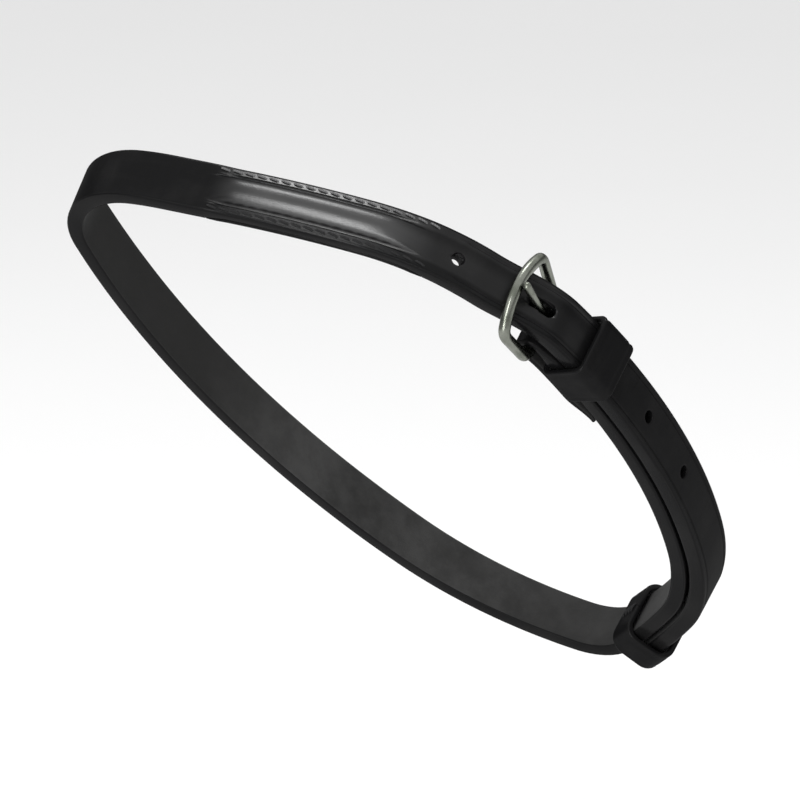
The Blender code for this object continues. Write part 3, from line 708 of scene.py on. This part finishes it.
# %% [markdown]
# ## Punched holes
# A saddler punches the billet from the grain side, which pulls the rim down a little. A
# Boolean with a plain rod would leave a razor edge. The cutter is a turned profile
# instead: a rod that flares like a trumpet where it meets the grain, and is spun round
# the hole's axis. The hole that the tongue goes through and the slot in the fold are
# long, so their cutters are pulled apart along the strap.

# %% Punch the leather
HOLE_RADIUS = 0.0015
HOLE_FLARE = 0.00035
HOLE_SPACING = 0.0205
TONGUE_HOLE_BEFORE_BAR = 0.0075
TONGUE_HOLE_LENGTH = 0.0090
TONGUE_HOLE_SLANT = 52.0
HOLES_BEFORE = 1
HOLES_AFTER = 3
TONGUE_RADIUS = 0.0010
SLOT_SIDE_GAP = 0.0005
SLOT_END_GAP = 0.0008
CUTTER_OVERRUN = 0.0010
CUTTER_SIDES = 40
FLARE_STEPS = 5

EYE_RADIUS = WIRE_RADIUS + CLEARANCE + TONGUE_RADIUS
CHAPE_SLOT_REACH = EYE_RADIUS + TONGUE_RADIUS + SLOT_END_GAP


def turned_cutter(radius, length, low, high, flare):
    """A spun rod from low to high, flared at the top, pulled apart to the slot's length."""
    bm = bmesh.new()
    profile = [(0.0, low), (radius, low)]
    for step in range(FLARE_STEPS + 1):
        turn = pi / 2 * step / FLARE_STEPS
        profile.append((radius + flare * (1 - cos(turn)), high - flare * (1 - sin(turn))))
    profile += [(radius + flare, high + CUTTER_OVERRUN), (0.0, high + CUTTER_OVERRUN)]
    verts = [bm.verts.new((x, 0, z)) for x, z in profile]
    edges = [bm.edges.new(pair) for pair in zip(verts, verts[1:])]
    bmesh.ops.spin(bm, geom=verts + edges, cent=(0, 0, 0), axis=(0, 0, 1), angle=2 * pi,
                   steps=CUTTER_SIDES, use_merge=True)
    bmesh.ops.remove_doubles(bm, verts=bm.verts, dist=TINY)
    straight = max(length / 2 - radius, 0.0)
    for vert in bm.verts:
        if abs(vert.co.x) > TINY:
            vert.co.x += straight if vert.co.x > 0 else -straight
    return bm


def punch(piece, distance, out, radius, length, low, high, flare=0.0, slant=0.0):
    """Cut one hole through a piece at that distance, square to the strap or slanted."""
    middle, ahead, across, outwards = axes(distance)
    turn = Matrix((ahead, across, outwards)).transposed().to_4x4()
    bm = turned_cutter(radius, length, low, high, flare)
    for vert in bm.verts:
        vert.co.x += tan(radians(slant)) * (high - vert.co.z)
    move = Matrix.Translation(middle + outwards * out)
    bmesh.ops.transform(bm, matrix=move @ turn, verts=bm.verts)
    bmesh.ops.recalc_face_normals(bm, faces=bm.faces)
    cutter = into_object("cutter", bm)
    dress(cutter, *piece.data.materials)
    for face in cutter.data.polygons:
        face.material_index = EDGE
    modifier = piece.modifiers.new("hole", "BOOLEAN")
    modifier.operation = "DIFFERENCE"
    modifier.object = cutter
    return cutter


def settle(piece, cutters):
    """Turn the piece's modifiers into its mesh, and remove the cutters."""
    graph = bpy.context.evaluated_depsgraph_get()
    mesh = bpy.data.meshes.new_from_object(piece.evaluated_get(graph))
    piece.modifiers.clear()
    piece.data = mesh
    for cutter in cutters:
        bpy.data.objects.remove(cutter)


def punch_strap():
    tongue_hole = BUCKLE_PASS - TONGUE_HOLE_BEFORE_BAR
    half_slot = TONGUE_RADIUS + SLOT_SIDE_GAP
    fold_floor = BAR_OUT - FOLD_RADIUS - FOLD_THICKNESS / 2 - CUTTER_OVERRUN
    slot_roof = (FACE + BILLET_OUT - BILLET_THICKNESS / 2) / 2 - CUTTER_OVERRUN
    cutters = []
    low, high = -BILLET_THICKNESS / 2 - LAYER_GAP / 2, BILLET_THICKNESS / 2
    for index in range(-HOLES_BEFORE, HOLES_AFTER + 1):
        distance = tongue_hole + index * HOLE_SPACING
        radius, length, slant = HOLE_RADIUS, 0.0, 0.0
        if index == 0:
            radius, length, slant = half_slot, TONGUE_HOLE_LENGTH, TONGUE_HOLE_SLANT
        cutters.append(punch(leather_strip, distance, billet_out(distance), radius, length, low,
                             high, HOLE_FLARE, slant))
    # the chape's slot comes last: when it was cut first, the finished mesh had open edges
    cutters.append(punch(leather_strip, HEEL_BAR_DISTANCE, 0.0, half_slot,
                         2 * CHAPE_SLOT_REACH, fold_floor, slot_roof))
    settle(leather_strip, cutters)
    return len(cutters)


dress(leather_strip, *[bpy.data.materials.new("blank_" + slot) for slot in ("grain", "edge", "flesh")])
print("punched", punch_strap(), "holes;", len(leather_strip.data.polygons), "faces now")

# %% [markdown]
# ## Leather finishes
# Bridle leather has three faces. The grain side is dyed, waxed and polished: nearly
# black, with fine pebbles, faint wrinkles across the strap where it has bent, and a
# little more gloss on the padded front. The cut edge is burnished with wax until it
# shines. The flesh side is dyed too, but stays matt and fibrous, so it looks a warm dark
# grey. Each is a Principled shader; on the grain side a second, dull one is mixed in
# where the polish is low. Pebbles come from cells on Object coordinates, because they
# have no direction, and wrinkles from a noise on the strip's own map, stretched so that
# each one runs across the strap.

# %% Grain side, edge and flesh side
GRAIN_COLOUR = (0.0052, 0.0052, 0.0055)
GRAIN_WORN_COLOUR = (0.0125, 0.0122, 0.0122)
EDGE_COLOUR = (0.0055, 0.0055, 0.0058)
FLESH_COLOUR = (0.0150, 0.0149, 0.0147)
FLESH_LIGHT_COLOUR = (0.0520, 0.0516, 0.0512)
# Ranges along the map: past the first the flesh side darkens towards the seat, below the second it
# carries painted shade.
FLESH_SEAT_DARKENING = (0.3250, 0.3700)
FLESH_PAINTED_SHADE = (0.2350, 0.2750)
FRONT_POLISH = 0.80
BILLET_POLISH = 0.16
PLAIN_POLISH = 0.08
FLANK_RUBBED = 0.75
LOWER_RUBBED = 0.80
PEBBLES_PER_METRE = 1500
FIBRES_PER_METRE = 1900
GRAIN_RELIEF = 0.00006
EDGE_RELIEF = 0.00005
FLESH_RELIEF = 0.00012


def grain_finish(name):
    """Waxed black grain with wrinkles across, polished most on the padded front."""
    finish = Finish(name)
    place_on = finish.place()
    flat, along, side = finish.strip()
    pebbles = finish.cells(place_on, PEBBLES_PER_METRE)
    pores = finish.noise(place_on, 4200, 2.0)
    clouds = finish.noise(place_on, 95, 4.0, 0.6)
    smears = finish.noise(finish.stretched(flat, 60, 420), 1.0, 3.0)
    strokes = finish.noise(finish.stretched(flat, 90, 3600), 1.0, 3.0, 0.6)
    wrinkles = finish.noise(finish.stretched(flat, 1100, 140), 1.0, 4.0, 0.6).ramp(0.56, 0.78)
    worn = clouds.ramp(0.42, 0.75) * 0.5 + wrinkles * 0.25 + smears.ramp(0.5, 0.9) * 0.25
    rough = 0.20 + clouds * 0.08 + strokes * 0.10 + pores * 0.04
    height = pebbles * 0.45 + pores * 0.20 + strokes * 0.45 - wrinkles * 0.4
    colour = finish.mixed(worn, GRAIN_COLOUR, GRAIN_WORN_COLOUR)
    normal = finish.bumps(height, GRAIN_RELIEF, strength=0.5)
    start, end = LOOP_LENGTH + RAISE_START, LOOP_LENGTH + RAISE_END
    waxed = along.ramp(start, start + 2 * RAISE_RAMP, 0.0, FRONT_POLISH)
    waxed = waxed + along.ramp(end - RAISE_END_RAMP, end, 0.0, BILLET_POLISH - FRONT_POLISH)
    waxed = waxed + along.ramp(BUCKLE_PASS, BUCKLE_PASS + BILLET_CLIMB, 0.0, -BILLET_POLISH)
    flank = side.ramp(-GROOVE_END, -DOME_HALF_WIDTH) * side.ramp(-DOME_HALF_WIDTH, 0.0, 1.0, 0.0)
    lower = side.ramp(DOME_HALF_WIDTH, GROOVE_END)
    waxed = waxed * (1 - flank * FLANK_RUBBED - lower * LOWER_RUBBED)
    finish.dulled(waxed + PLAIN_POLISH - wrinkles * 0.04, colour, normal)
    return finish.set(Base_Color=colour, Roughness=rough, Normal=normal, Specular_IOR_Level=1.0)


def edge_finish():
    """A cut edge, dyed and rubbed with wax, with its layers still just in sight."""
    finish = Finish("burnished_edge")
    flat, _, _ = finish.strip()
    layers = finish.noise(finish.place(), 2600, 2.0)
    long_marks = finish.noise(finish.stretched(flat, 40, 5200), 1.0, 2.0)
    height = layers * 0.4 + long_marks * 0.6
    colour = finish.mixed(long_marks.ramp(0.4, 0.8), EDGE_COLOUR, GRAIN_WORN_COLOUR)
    return finish.set(Base_Color=colour, Roughness=0.30 + layers * 0.12, Coat_Weight=0.15,
                      Coat_Roughness=0.2, Specular_IOR_Level=0.0,
                      Normal=finish.bumps(height, EDGE_RELIEF, strength=0.5))


def flesh_finish():
    """The matt, fibrous back of the leather, mottled by the dye, with painted shade below 0.235 m
    along its map and a fade towards the seat.
    """
    finish = Finish("flesh_side")
    place_on = finish.place()
    flat, along, _ = finish.strip()
    fibres = finish.noise(finish.stretched(flat, 700, FIBRES_PER_METRE), 1.0, 6.0, 0.7)
    nap = finish.noise(place_on, 2600, 5.0, 0.7)
    mottles = finish.noise(place_on, 130, 4.0, 0.65)
    patches = finish.noise(place_on, 38, 3.0, 0.6)
    # Painted shade halves the mottles below 0.235 m along the map; past 0.325 m they fade towards the
    # seat.
    seat_fade_and_painted_shade = along.ramp(*FLESH_SEAT_DARKENING, 1.0, 0.1) * along.ramp(*FLESH_PAINTED_SHADE, 0.5, 1.0)
    light = mottles.ramp(0.3, 0.7) * 0.35 + patches.ramp(0.3, 0.7) * 0.35
    light = (light + nap * 0.15 + fibres * 0.15) * seat_fade_and_painted_shade
    height = fibres * 0.5 + nap * 0.5
    colour = finish.mixed(light, FLESH_COLOUR, FLESH_LIGHT_COLOUR)
    return finish.set(Base_Color=colour, Roughness=0.68 + nap * 0.2, Sheen_Weight=0.03,
                      Specular_IOR_Level=0.10,
                      Normal=finish.bumps(height, FLESH_RELIEF, strength=0.6))


grain = grain_finish("bridle_grain")
edge = edge_finish()
flesh = flesh_finish()
for index, finish in enumerate((grain, edge, flesh)):
    leather_strip.data.materials[index] = finish
print("leather:", [m.name for m in leather_strip.data.materials])

# %% [markdown]
# ## The padded front
# On the front the strap is raised over a filler, and a thin lining closes it behind.
# The lining is skived to a thin edge at both ends, so that nothing rubs. It is one more
# sweep. The filler never shows, so its solid stays as it is and only takes a finish.

# %% Add the lining and finish the filler
LINING_END_SHARE = 0.9
FILLER_COLOUR = (0.10, 0.085, 0.07)
FELT_RELIEF = 0.0001


def add_lining():
    rings, marks = [], []
    ends = [LINING_START - CLEARANCE * LINING_END_SHARE, LINING_END + CLEARANCE * LINING_END_SHARE]
    for distance in sorted(evenly(LINING_START, LINING_END, STATION_STEP) + ends):
        depth = lining_depth(distance)
        half = HALF_WIDTH - max(FLESH_ROUND - depth, 0.0) / 2
        points = section(half, -FACE, -FACE + depth)
        rings.append([place(distance, z, x) for x, z in points])
        marks.append([(distance, x) for x, _ in points])
    lining = sweep("lining", rings, marks, section_slots())
    dress(lining, flesh, edge, flesh)
    return lining


def filler_finish():
    finish = Finish("filler_felt")
    felt = finish.noise(finish.place(), 1800, 5.0, 0.7)
    colour = finish.mixed(felt, FILLER_COLOUR, [c * 0.6 for c in FILLER_COLOUR])
    return finish.set(Base_Color=colour, Roughness=0.92, Normal=finish.bumps(felt, FELT_RELIEF))


lining = add_lining()
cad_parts["front_filler"].data.materials.clear()
dress(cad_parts["front_filler"], filler_finish())

# %% [markdown]
# ## Stitches
# Saddle stitching is two waxed threads that pass each other in every hole, so each face
# shows a row of short slanted stitches with both ends pulled into the leather. A dashed
# texture would lie flat. Each stitch here is its own short length of twisted thread: a
# section with three lobes, turned as it goes, bowed up from hole to hole.

# %% Sew the rows
STITCH_LENGTH = 0.0030
STITCH_INSET = 0.0013
THREAD_RADIUS = 0.00031
THREAD_TWIST = 0.0016
THREAD_SIDES = 12
THREAD_PLIES = 3
STITCH_STEPS = 12
STITCH_SINK = 0.00048
STITCH_GAP_SHARE = 0.10
STITCH_SLANT = 0.00022
STITCH_RISE_SHARE = 0.7
STITCH_END_POWER = 5
STITCH_SHARP_ANGLE = 60.0
THREAD_COLOUR = (0.042, 0.042, 0.043)
WAX_LIGHT = 1.8
THREAD_RELIEF = 0.00004


def stitch_rings(start, end):
    """One stitch between two points that each give a place on the leather and a way out."""
    (near, near_out), (far, far_out) = start, end
    points = []
    for step in range(STITCH_STEPS + 1):
        share = step / STITCH_STEPS
        sunk = STITCH_SINK * abs(2 * share - 1) ** STITCH_END_POWER
        level = THREAD_RADIUS * STITCH_RISE_SHARE - sunk
        points.append(near.lerp(far, share) + near_out.lerp(far_out, share) * level)
    return wire_rings(points, lambda reached: THREAD_RADIUS, THREAD_SIDES, lobes=THREAD_PLIES,
                      twist_at=lambda reached: 2 * pi * reached / THREAD_TWIST)


def join(name, pieces):
    """Several pieces of one kind as one mesh."""
    bm = bmesh.new()
    for piece in pieces:
        bm.from_mesh(piece.data)
        bpy.data.objects.remove(piece)
    return into_object(name, bm, STITCH_SHARP_ANGLE)


def sew(name, start, end, faces, across):
    """Rows of stitches on each face: a function that gives the level, and its sign."""
    stitches = []
    count = round((end - start) / STITCH_LENGTH)
    pitch = (end - start) / count
    for level, sign in faces:
        for index in range(count):
            ends = []
            for share, slant in ((STITCH_GAP_SHARE, -1), (1 - STITCH_GAP_SHARE, 1)):
                distance = start + pitch * (index + share)
                _, _, _, out = axes(distance)
                at = place(distance, level(distance), across + slant * sign * STITCH_SLANT)
                ends.append((at, out * sign))
            stitches.append(sweep(f"{name}_{index}", *stitch_rings(*ends)))
    return join(name, stitches)


def thread_finish(name, share, gloss):
    """Waxed thread whose colour the share scales: lighter as a painted highlight on upper rows, darker
    as painted shade on lower rows, each with its own specular level.
    """
    finish = Finish(name)
    wax = finish.noise(finish.place(), 2500, 3.0)
    dark, light = [[c * k * share for c in THREAD_COLOUR] for k in (1.0, WAX_LIGHT)]
    colour = finish.mixed(wax, dark, light)
    return finish.set(Base_Color=colour, Roughness=0.42 + wax * 0.2, Specular_IOR_Level=gloss,
                      Normal=finish.bumps(wax, THREAD_RELIEF, strength=0.5))


def sew_all():
    inset = HALF_WIDTH - STITCH_INSET
    front = ((lambda distance: FACE - raised_share(distance) * strip_drop(inset), 1),
             (lambda distance: -FACE, -1))
    chape = ((lambda distance: turn_back_faces(distance - HEEL_BAR_DISTANCE)[0], -1),)
    chape_start = HEEL_BAR_DISTANCE + CHAPE_SLOT_REACH
    chape_end = HEEL_BAR_DISTANCE + TURN_BACK_LENGTH - STITCH_INSET
    rows = []
    for row, across in (("upper", -inset), ("lower", inset)):
        rows.append(sew("front_stitches_" + row, LINING_START, LINING_END, front, across))
        rows.append(sew("chape_stitches_" + row, chape_start, chape_end, chape, across))
    return rows


# The upper rows take a lighter copy of the thread as a painted highlight; the lower rows and the
# lacing take a darker copy as painted shade.
threads = {"upper": thread_finish("waxed_thread", 1.4, 1.0),
           "lower": thread_finish("rubbed_thread", 0.35, 0.1)}
rows = sew_all()
for row in rows:
    dress(row, threads[row.name[-5:]])
print("stitches:", {row.name: len(row.data.polygons) for row in rows})

# %% [markdown]
# ## Keepers
# A keeper is a short band of thin leather wrapped round the double strap. The fixed one
# is sewn in with the chape. The loose one is butted on the inner side, laced with a few
# stitches, and slides. A band could be a solidified ring. Sweeping a rounded section
# round the opening keeps a true cut end at the butt, and lets the band follow the bend
# of the strap that it holds. Two creases pressed near its edges catch the light.

# %% Wrap the keepers
FIXED_KEEPER_CORNER = 0.0018
LOOSE_KEEPER_CORNER = 0.0034
FIXED_KEEPER_PLAY = 0.0010
LOOSE_KEEPER_PLAY = 0.0008
LOOSE_KEEPER_SIDE_PLAY = 0.0009
BAND_STEP = 0.0008
BAND_CORNER_STEPS = 7
BAND_ROUND = 0.0005
BAND_ROUND_STEPS = 3
BAND_PLACES = 14
BAND_CREASE_INSET = 0.0013
BAND_CREASE_HALF_WIDTH = 0.0004
BAND_CREASE_DEPTH = 0.00022
BUTT_GAP = 0.0001
BUTT_STITCHES = 4
BUTT_STITCH_REACH = 0.0011
BUTT_STITCH_SLANT = 0.22


def band_section(width):
    """A keeper's section: place along the strap, and height above the band's middle."""
    half, high = width / 2, KEEPER_THICKNESS / 2
    flat = half - BAND_ROUND
    points = []
    for step in range(BAND_PLACES + 1):
        at = flat * (1 - 2 * step / BAND_PLACES)
        near = 1 - min(abs(abs(at) - (half - BAND_CREASE_INSET)) / BAND_CREASE_HALF_WIDTH, 1.0)
        points.append((at, high - BAND_CREASE_DEPTH * smooth(near)))
    turn = [radians(90 * step / BAND_ROUND_STEPS) for step in range(1, BAND_ROUND_STEPS + 1)]
    drop = high - BAND_ROUND
    points += [(-flat - BAND_ROUND * sin(a), drop + BAND_ROUND * cos(a)) for a in turn]
    points += [(-flat - BAND_ROUND * cos(a), -drop - BAND_ROUND * sin(a)) for a in [0.0] + turn]
    points += [(-x, z) for x, z in points[:BAND_PLACES:-1] if z < -drop + TINY]
    points += [(flat + BAND_ROUND * cos(a), drop + BAND_ROUND * sin(a)) for a in [0.0] + turn[:-1]]
    return points


def band_line(half_width, low, high, corner):
    """Places and outward directions round the opening, from the butt joint back to it."""
    corners = ((half_width, low, -90), (half_width, high, 0), (-half_width, high, 90),
               (-half_width, low, 180))
    line = [(BUTT_GAP / 2, low, -90.0)]
    for x, z, first in corners:
        middle_x = x - corner if x > 0 else x + corner
        middle_z = z - corner if z == high else z + corner
        for step in range(BAND_CORNER_STEPS + 1):
            turned = first + 90 * step / BAND_CORNER_STEPS
            angle = radians(turned)
            line.append((middle_x + corner * cos(angle), middle_z + corner * sin(angle), turned))
    line.append((-BUTT_GAP / 2, low, 270.0))
    filled = [line[0]]
    for before, after in zip(line, line[1:]):
        count = max(ceil(hypot(after[0] - before[0], after[1] - before[1]) / BAND_STEP), 1)
        for step in range(1, count + 1):
            filled.append([a + (b - a) * step / count for a, b in zip(before, after)])
    return filled


def wrap_keeper(name, distance, width, plays, corner):
    """Plays are the room left inside the strap, beside it and outside it."""
    inner_play, side_play, outer_play = plays
    half_band = KEEPER_THICKNESS / 2
    low = -FACE - inner_play - half_band
    high = BILLET_OUT + BILLET_THICKNESS / 2 + outer_play + half_band
    profile = band_section(width)
    rings, marks, reached, last = [], [], 0.0, None
    for x, z, turned in band_line(HALF_WIDTH + side_play + half_band, low, high, corner):
        reached += hypot(x - last[0], z - last[1]) if last else 0.0
        last = (x, z)
        way = (cos(radians(turned)), sin(radians(turned)))
        rings.append([place(distance + at, z + way[1] * up, x + way[0] * up)
                      for at, up in profile])
        marks.append([(reached, at) for at, _ in profile])
    edge_count = 2 * BAND_ROUND_STEPS + 1
    flesh_count = len(profile) - BAND_PLACES - 2 * edge_count
    edges = [EDGE] * edge_count
    slots = [GRAIN] * BAND_PLACES + edges + [FLESH] * flesh_count + edges
    band = sweep(name, rings, marks, slots)
    dress(band, grain, edge, flesh)
    return band


def lace_butt():
    """Slanted stitches across the loose keeper's butt joint, on the inner side."""
    level = -FACE - LOOSE_KEEPER_PLAY - KEEPER_THICKNESS
    span = LOOSE_KEEPER_WIDTH - 2 * BAND_CREASE_INSET
    stitches = []
    for index in range(BUTT_STITCHES):
        ends = []
        for side in (-1, 1):
            share = (index + 0.5 + side * BUTT_STITCH_SLANT) / BUTT_STITCHES - 0.5
            distance = LOOSE_KEEPER_DISTANCE + span * share
            _, _, _, out = axes(distance)
            ends.append((place(distance, level, side * BUTT_STITCH_REACH), -out))
        stitches.append(sweep(f"lace_{index}", *stitch_rings(*ends)))
    lacing = join("loose_keeper_lacing", stitches)
    # The lacing takes the darker thread, which carries painted shade.
    dress(lacing, threads["lower"])
    return lacing


fixed_keeper = wrap_keeper("fixed_keeper_band", HEEL_BAR_DISTANCE + FIXED_KEEPER_AFTER_BAR,
                           FIXED_KEEPER_WIDTH, (CLEARANCE, CLEARANCE, FIXED_KEEPER_PLAY),
                           FIXED_KEEPER_CORNER)
loose_keeper = wrap_keeper("loose_keeper_band", LOOSE_KEEPER_DISTANCE, LOOSE_KEEPER_WIDTH,
                           (LOOSE_KEEPER_PLAY, LOOSE_KEEPER_SIDE_PLAY, LOOSE_KEEPER_PLAY),
                           LOOSE_KEEPER_CORNER)
lacing = lace_butt()
print("keepers:", len(fixed_keeper.data.polygons), "and", len(loose_keeper.data.polygons), "faces")

# %% [markdown]
# ## The buckle
# The frame is one piece of stainless steel wire: a straight heel bar, sides that spread
# forwards, and a bowed front bar. The tongue is thinner wire, with an open eye that is
# bent round the heel bar, a shank that rises through the billet's hole, and a tip that
# rests on the front bar. Both are sweeps of a circle, as a Curve with a bevel would be,
# but a sweep can narrow the tongue's tip.

# %% Bend the wires
FRAME_LENGTH = 0.0170
FRAME_BOW = 0.0038
FRAME_FRONT_HALF_WIDTH = 0.0112
FRAME_SIDE_GAP = 0.0005
FRONT_BAR_GAP = 0.0012
FRAME_CORNER_REACH = 0.0024
FRAME_CORNER_STEPS = 10
FRONT_BAR_STEPS = 24
FRONT_BAR_FLAT_SHARE = 0.76
WIRE_SIDES = 24
TONGUE_EYE_STARTS_AT = 40.0
TONGUE_EYE_SWEEP = 270.0
TONGUE_BEND_RADIUS = 0.0060
TONGUE_OVERHANG = 0.0016
TONGUE_END_ROUND = 0.0008
TONGUE_END_SHARE = 0.35
TONGUE_STEPS = 30
SOLVING_ROUNDS = 20
STEEL_COLOUR = (0.23, 0.24, 0.21)
STEEL_DULL_COLOUR = (0.14, 0.15, 0.125)
STEEL_RELIEF = 0.00004


def buckle_axes():
    """The heel bar's middle, and the frame's directions: forward, across and up."""
    middle, _, across, out = axes(HEEL_BAR_DISTANCE)
    bar = middle + out * BAR_OUT
    back = FRAME_LENGTH
    for _ in range(SOLVING_ROUNDS):
        level = billet_out(BUCKLE_PASS - back) + BILLET_THICKNESS / 2 + FRONT_BAR_GAP + WIRE_RADIUS
        forward = place(BUCKLE_PASS - back, level) - bar
        forward -= across * forward.dot(across)
        back *= FRAME_LENGTH / forward.length
    forward.normalize()
    up = forward.cross(across)
    return bar, forward, across, up if up.dot(out) > 0 else -up


BAR, FORWARD, ACROSS, UP = buckle_axes()


def softened(corners, reach, steps):
    """A closed outline whose sharp corners are replaced by short curves."""
    points = []
    for k, corner in enumerate(corners):
        before, after = corners[k - 1], corners[(k + 1) % len(corners)]
        if hypot(before[0] - corner[0], before[1] - corner[1]) < reach / 2 or corner[2] == 0:
            points.append(corner[:2])
            continue
        ends = []
        for other in (before, after):
            share = min(reach / hypot(other[0] - corner[0], other[1] - corner[1]), 0.5)
            ends.append([corner[i] + (other[i] - corner[i]) * share for i in (0, 1)])
        for step in range(steps + 1):
            on = step / steps
            points.append([(1 - on) ** 2 * ends[0][i] + 2 * on * (1 - on) * corner[i]
                           + on ** 2 * ends[1][i] for i in (0, 1)])
    return points


def bend_frame():
    heel = HALF_WIDTH + FRAME_SIDE_GAP + WIRE_RADIUS
    shoulder = FRAME_LENGTH - FRAME_BOW
    front = []
    for step in range(1, FRONT_BAR_STEPS):
        share = 1 - 2 * step / FRONT_BAR_STEPS
        if abs(share) <= FRONT_BAR_FLAT_SHARE:
            bowed = FRAME_LENGTH - FRAME_BOW * share * share
            front.append((bowed, FRAME_FRONT_HALF_WIDTH * share, 0))
    corners = [(0, -heel, 1), (0, heel, 1), (shoulder, FRAME_FRONT_HALF_WIDTH, 1), *front,
               (shoulder, -FRAME_FRONT_HALF_WIDTH, 1)]
    outline = softened(corners, FRAME_CORNER_REACH, FRAME_CORNER_STEPS)
    points = [BAR + FORWARD * x + ACROSS * y for x, y in outline]
    rings, marks = wire_rings(points, lambda reached: WIRE_RADIUS, WIRE_SIDES, closed=True)
    return sweep("buckle_wire", rings, marks, closed=True)


def tongue_line():
    """The eye, the bend and the shank, in the plane square to the heel bar."""
    points = []
    for step in range(TONGUE_STEPS + 1):
        angle = radians(TONGUE_EYE_STARTS_AT - TONGUE_EYE_SWEEP * step / TONGUE_STEPS)
        points.append((EYE_RADIUS * cos(angle), EYE_RADIUS * sin(angle)))
    x, z = points[-1]
    heading, slope = angle - pi / 2 + 2 * pi, 0.0
    for _ in range(SOLVING_ROUNDS):
        after = x + TONGUE_BEND_RADIUS * (sin(heading) + sin(slope))
        height = z + TONGUE_BEND_RADIUS * (cos(slope) - cos(heading))
        slope = atan((height - EYE_RADIUS) / (FRAME_LENGTH - after))
    for step in range(1, TONGUE_STEPS // 2 + 1):
        angle = heading - (heading + slope) * step / (TONGUE_STEPS // 2)
        points.append((x + TONGUE_BEND_RADIUS * (sin(heading) - sin(angle)),
                       z + TONGUE_BEND_RADIUS * (cos(angle) - cos(heading))))
    x, z = points[-1]
    shank = evenly(x, FRAME_LENGTH + TONGUE_OVERHANG, STATION_STEP / 3)[1:]
    return points + [(at, z - (at - x) * tan(slope)) for at in shank]


def bend_tongue():
    points = [BAR + FORWARD * x + UP * z for x, z in tongue_line()]
    total = sum((b - a).length for a, b in zip(points, points[1:]))

    def radius_at(reached):
        left = min(reached, total - reached)
        inside = min(left / TONGUE_END_ROUND, 1.0)
        swollen = sqrt(1 - (1 - inside) ** 2)
        return TONGUE_RADIUS * (TONGUE_END_SHARE + (1 - TONGUE_END_SHARE) * swollen)

    return sweep("buckle_pin", *wire_rings(points, radius_at, WIRE_SIDES))


def steel_finish():
    """Polished wire, a little dulled and scratched by use."""
    finish = Finish("stainless_wire")
    place_on = finish.place()
    dull = finish.noise(place_on, 240, 4.0, 0.6)
    flat, _, _ = finish.strip()
    scratches = finish.noise(finish.stretched(flat, 250, 9000), 1.0, 4.0, 0.6)
    pits = finish.noise(place_on, 1600, 3.0)
    colour = finish.mixed(dull.ramp(0.35, 0.7), STEEL_COLOUR, STEEL_DULL_COLOUR)
    rough = 0.17 + dull * 0.12 + scratches * 0.06
    normal = finish.bumps(scratches * 0.6 + pits * 0.4, STEEL_RELIEF, strength=0.45)
    return finish.set(Base_Color=colour, Metallic=1.0, Roughness=rough, Normal=normal)


steel = steel_finish()
buckle_wire = bend_frame()
buckle_pin = bend_tongue()
for piece in (buckle_wire, buckle_pin):
    dress(piece, steel)
print("buckle:", len(buckle_wire.data.polygons), "and", len(buckle_pin.data.polygons), "faces")

# %% [markdown]
# ## What each piece stands for
# Every piece rides on the body that carries it on the real strap, and hides the solid
# that it dresses; its row also names the slot that its finish comes from. The loose keeper
# and its lacing ride on one body, and the buckle's pin on a body of its own.

# %% Attach the pieces to their bodies
PIECES = (
    (leather_strip, "strap", "black_leather", ("strap",)),
    (lining, "strap", "flesh_leather", ("front_lining",)),
    *[(row, "strap", "black_thread", (row.name.replace("stitches", "stitching"),)) for row in rows],
    (fixed_keeper, "strap", "black_leather", ("fixed_keeper",)),
    (buckle_wire, "buckle_frame", "stainless_steel", ("buckle_frame",)),
    (buckle_pin, "buckle_tongue", "stainless_steel", ("buckle_tongue",)),
    (loose_keeper, "loose_keeper", "black_leather", ("loose_keeper",)),
    (lacing, "loose_keeper", "black_thread", ("loose_keeper_stitching",)),
)
for piece, body, slot, nodes in PIECES:
    low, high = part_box(nodes[0])
    own = [piece.matrix_world @ Vector(corner) for corner in piece.bound_box]
    off = max(max(low[i] - min(p[i] for p in own), max(p[i] for p in own) - high[i])
              for i in range(3))
    print(f"{piece.name}: stands {off * 1000:.2f} mm proud of its solid")
    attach(piece, body)
    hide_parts(*nodes)

# %% Gather the sizes
boxes = {"cad": CAD_BOX, "visual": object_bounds()}
boxes = {name: [[float(v) for v in corner] for corner in box] for name, box in boxes.items()}
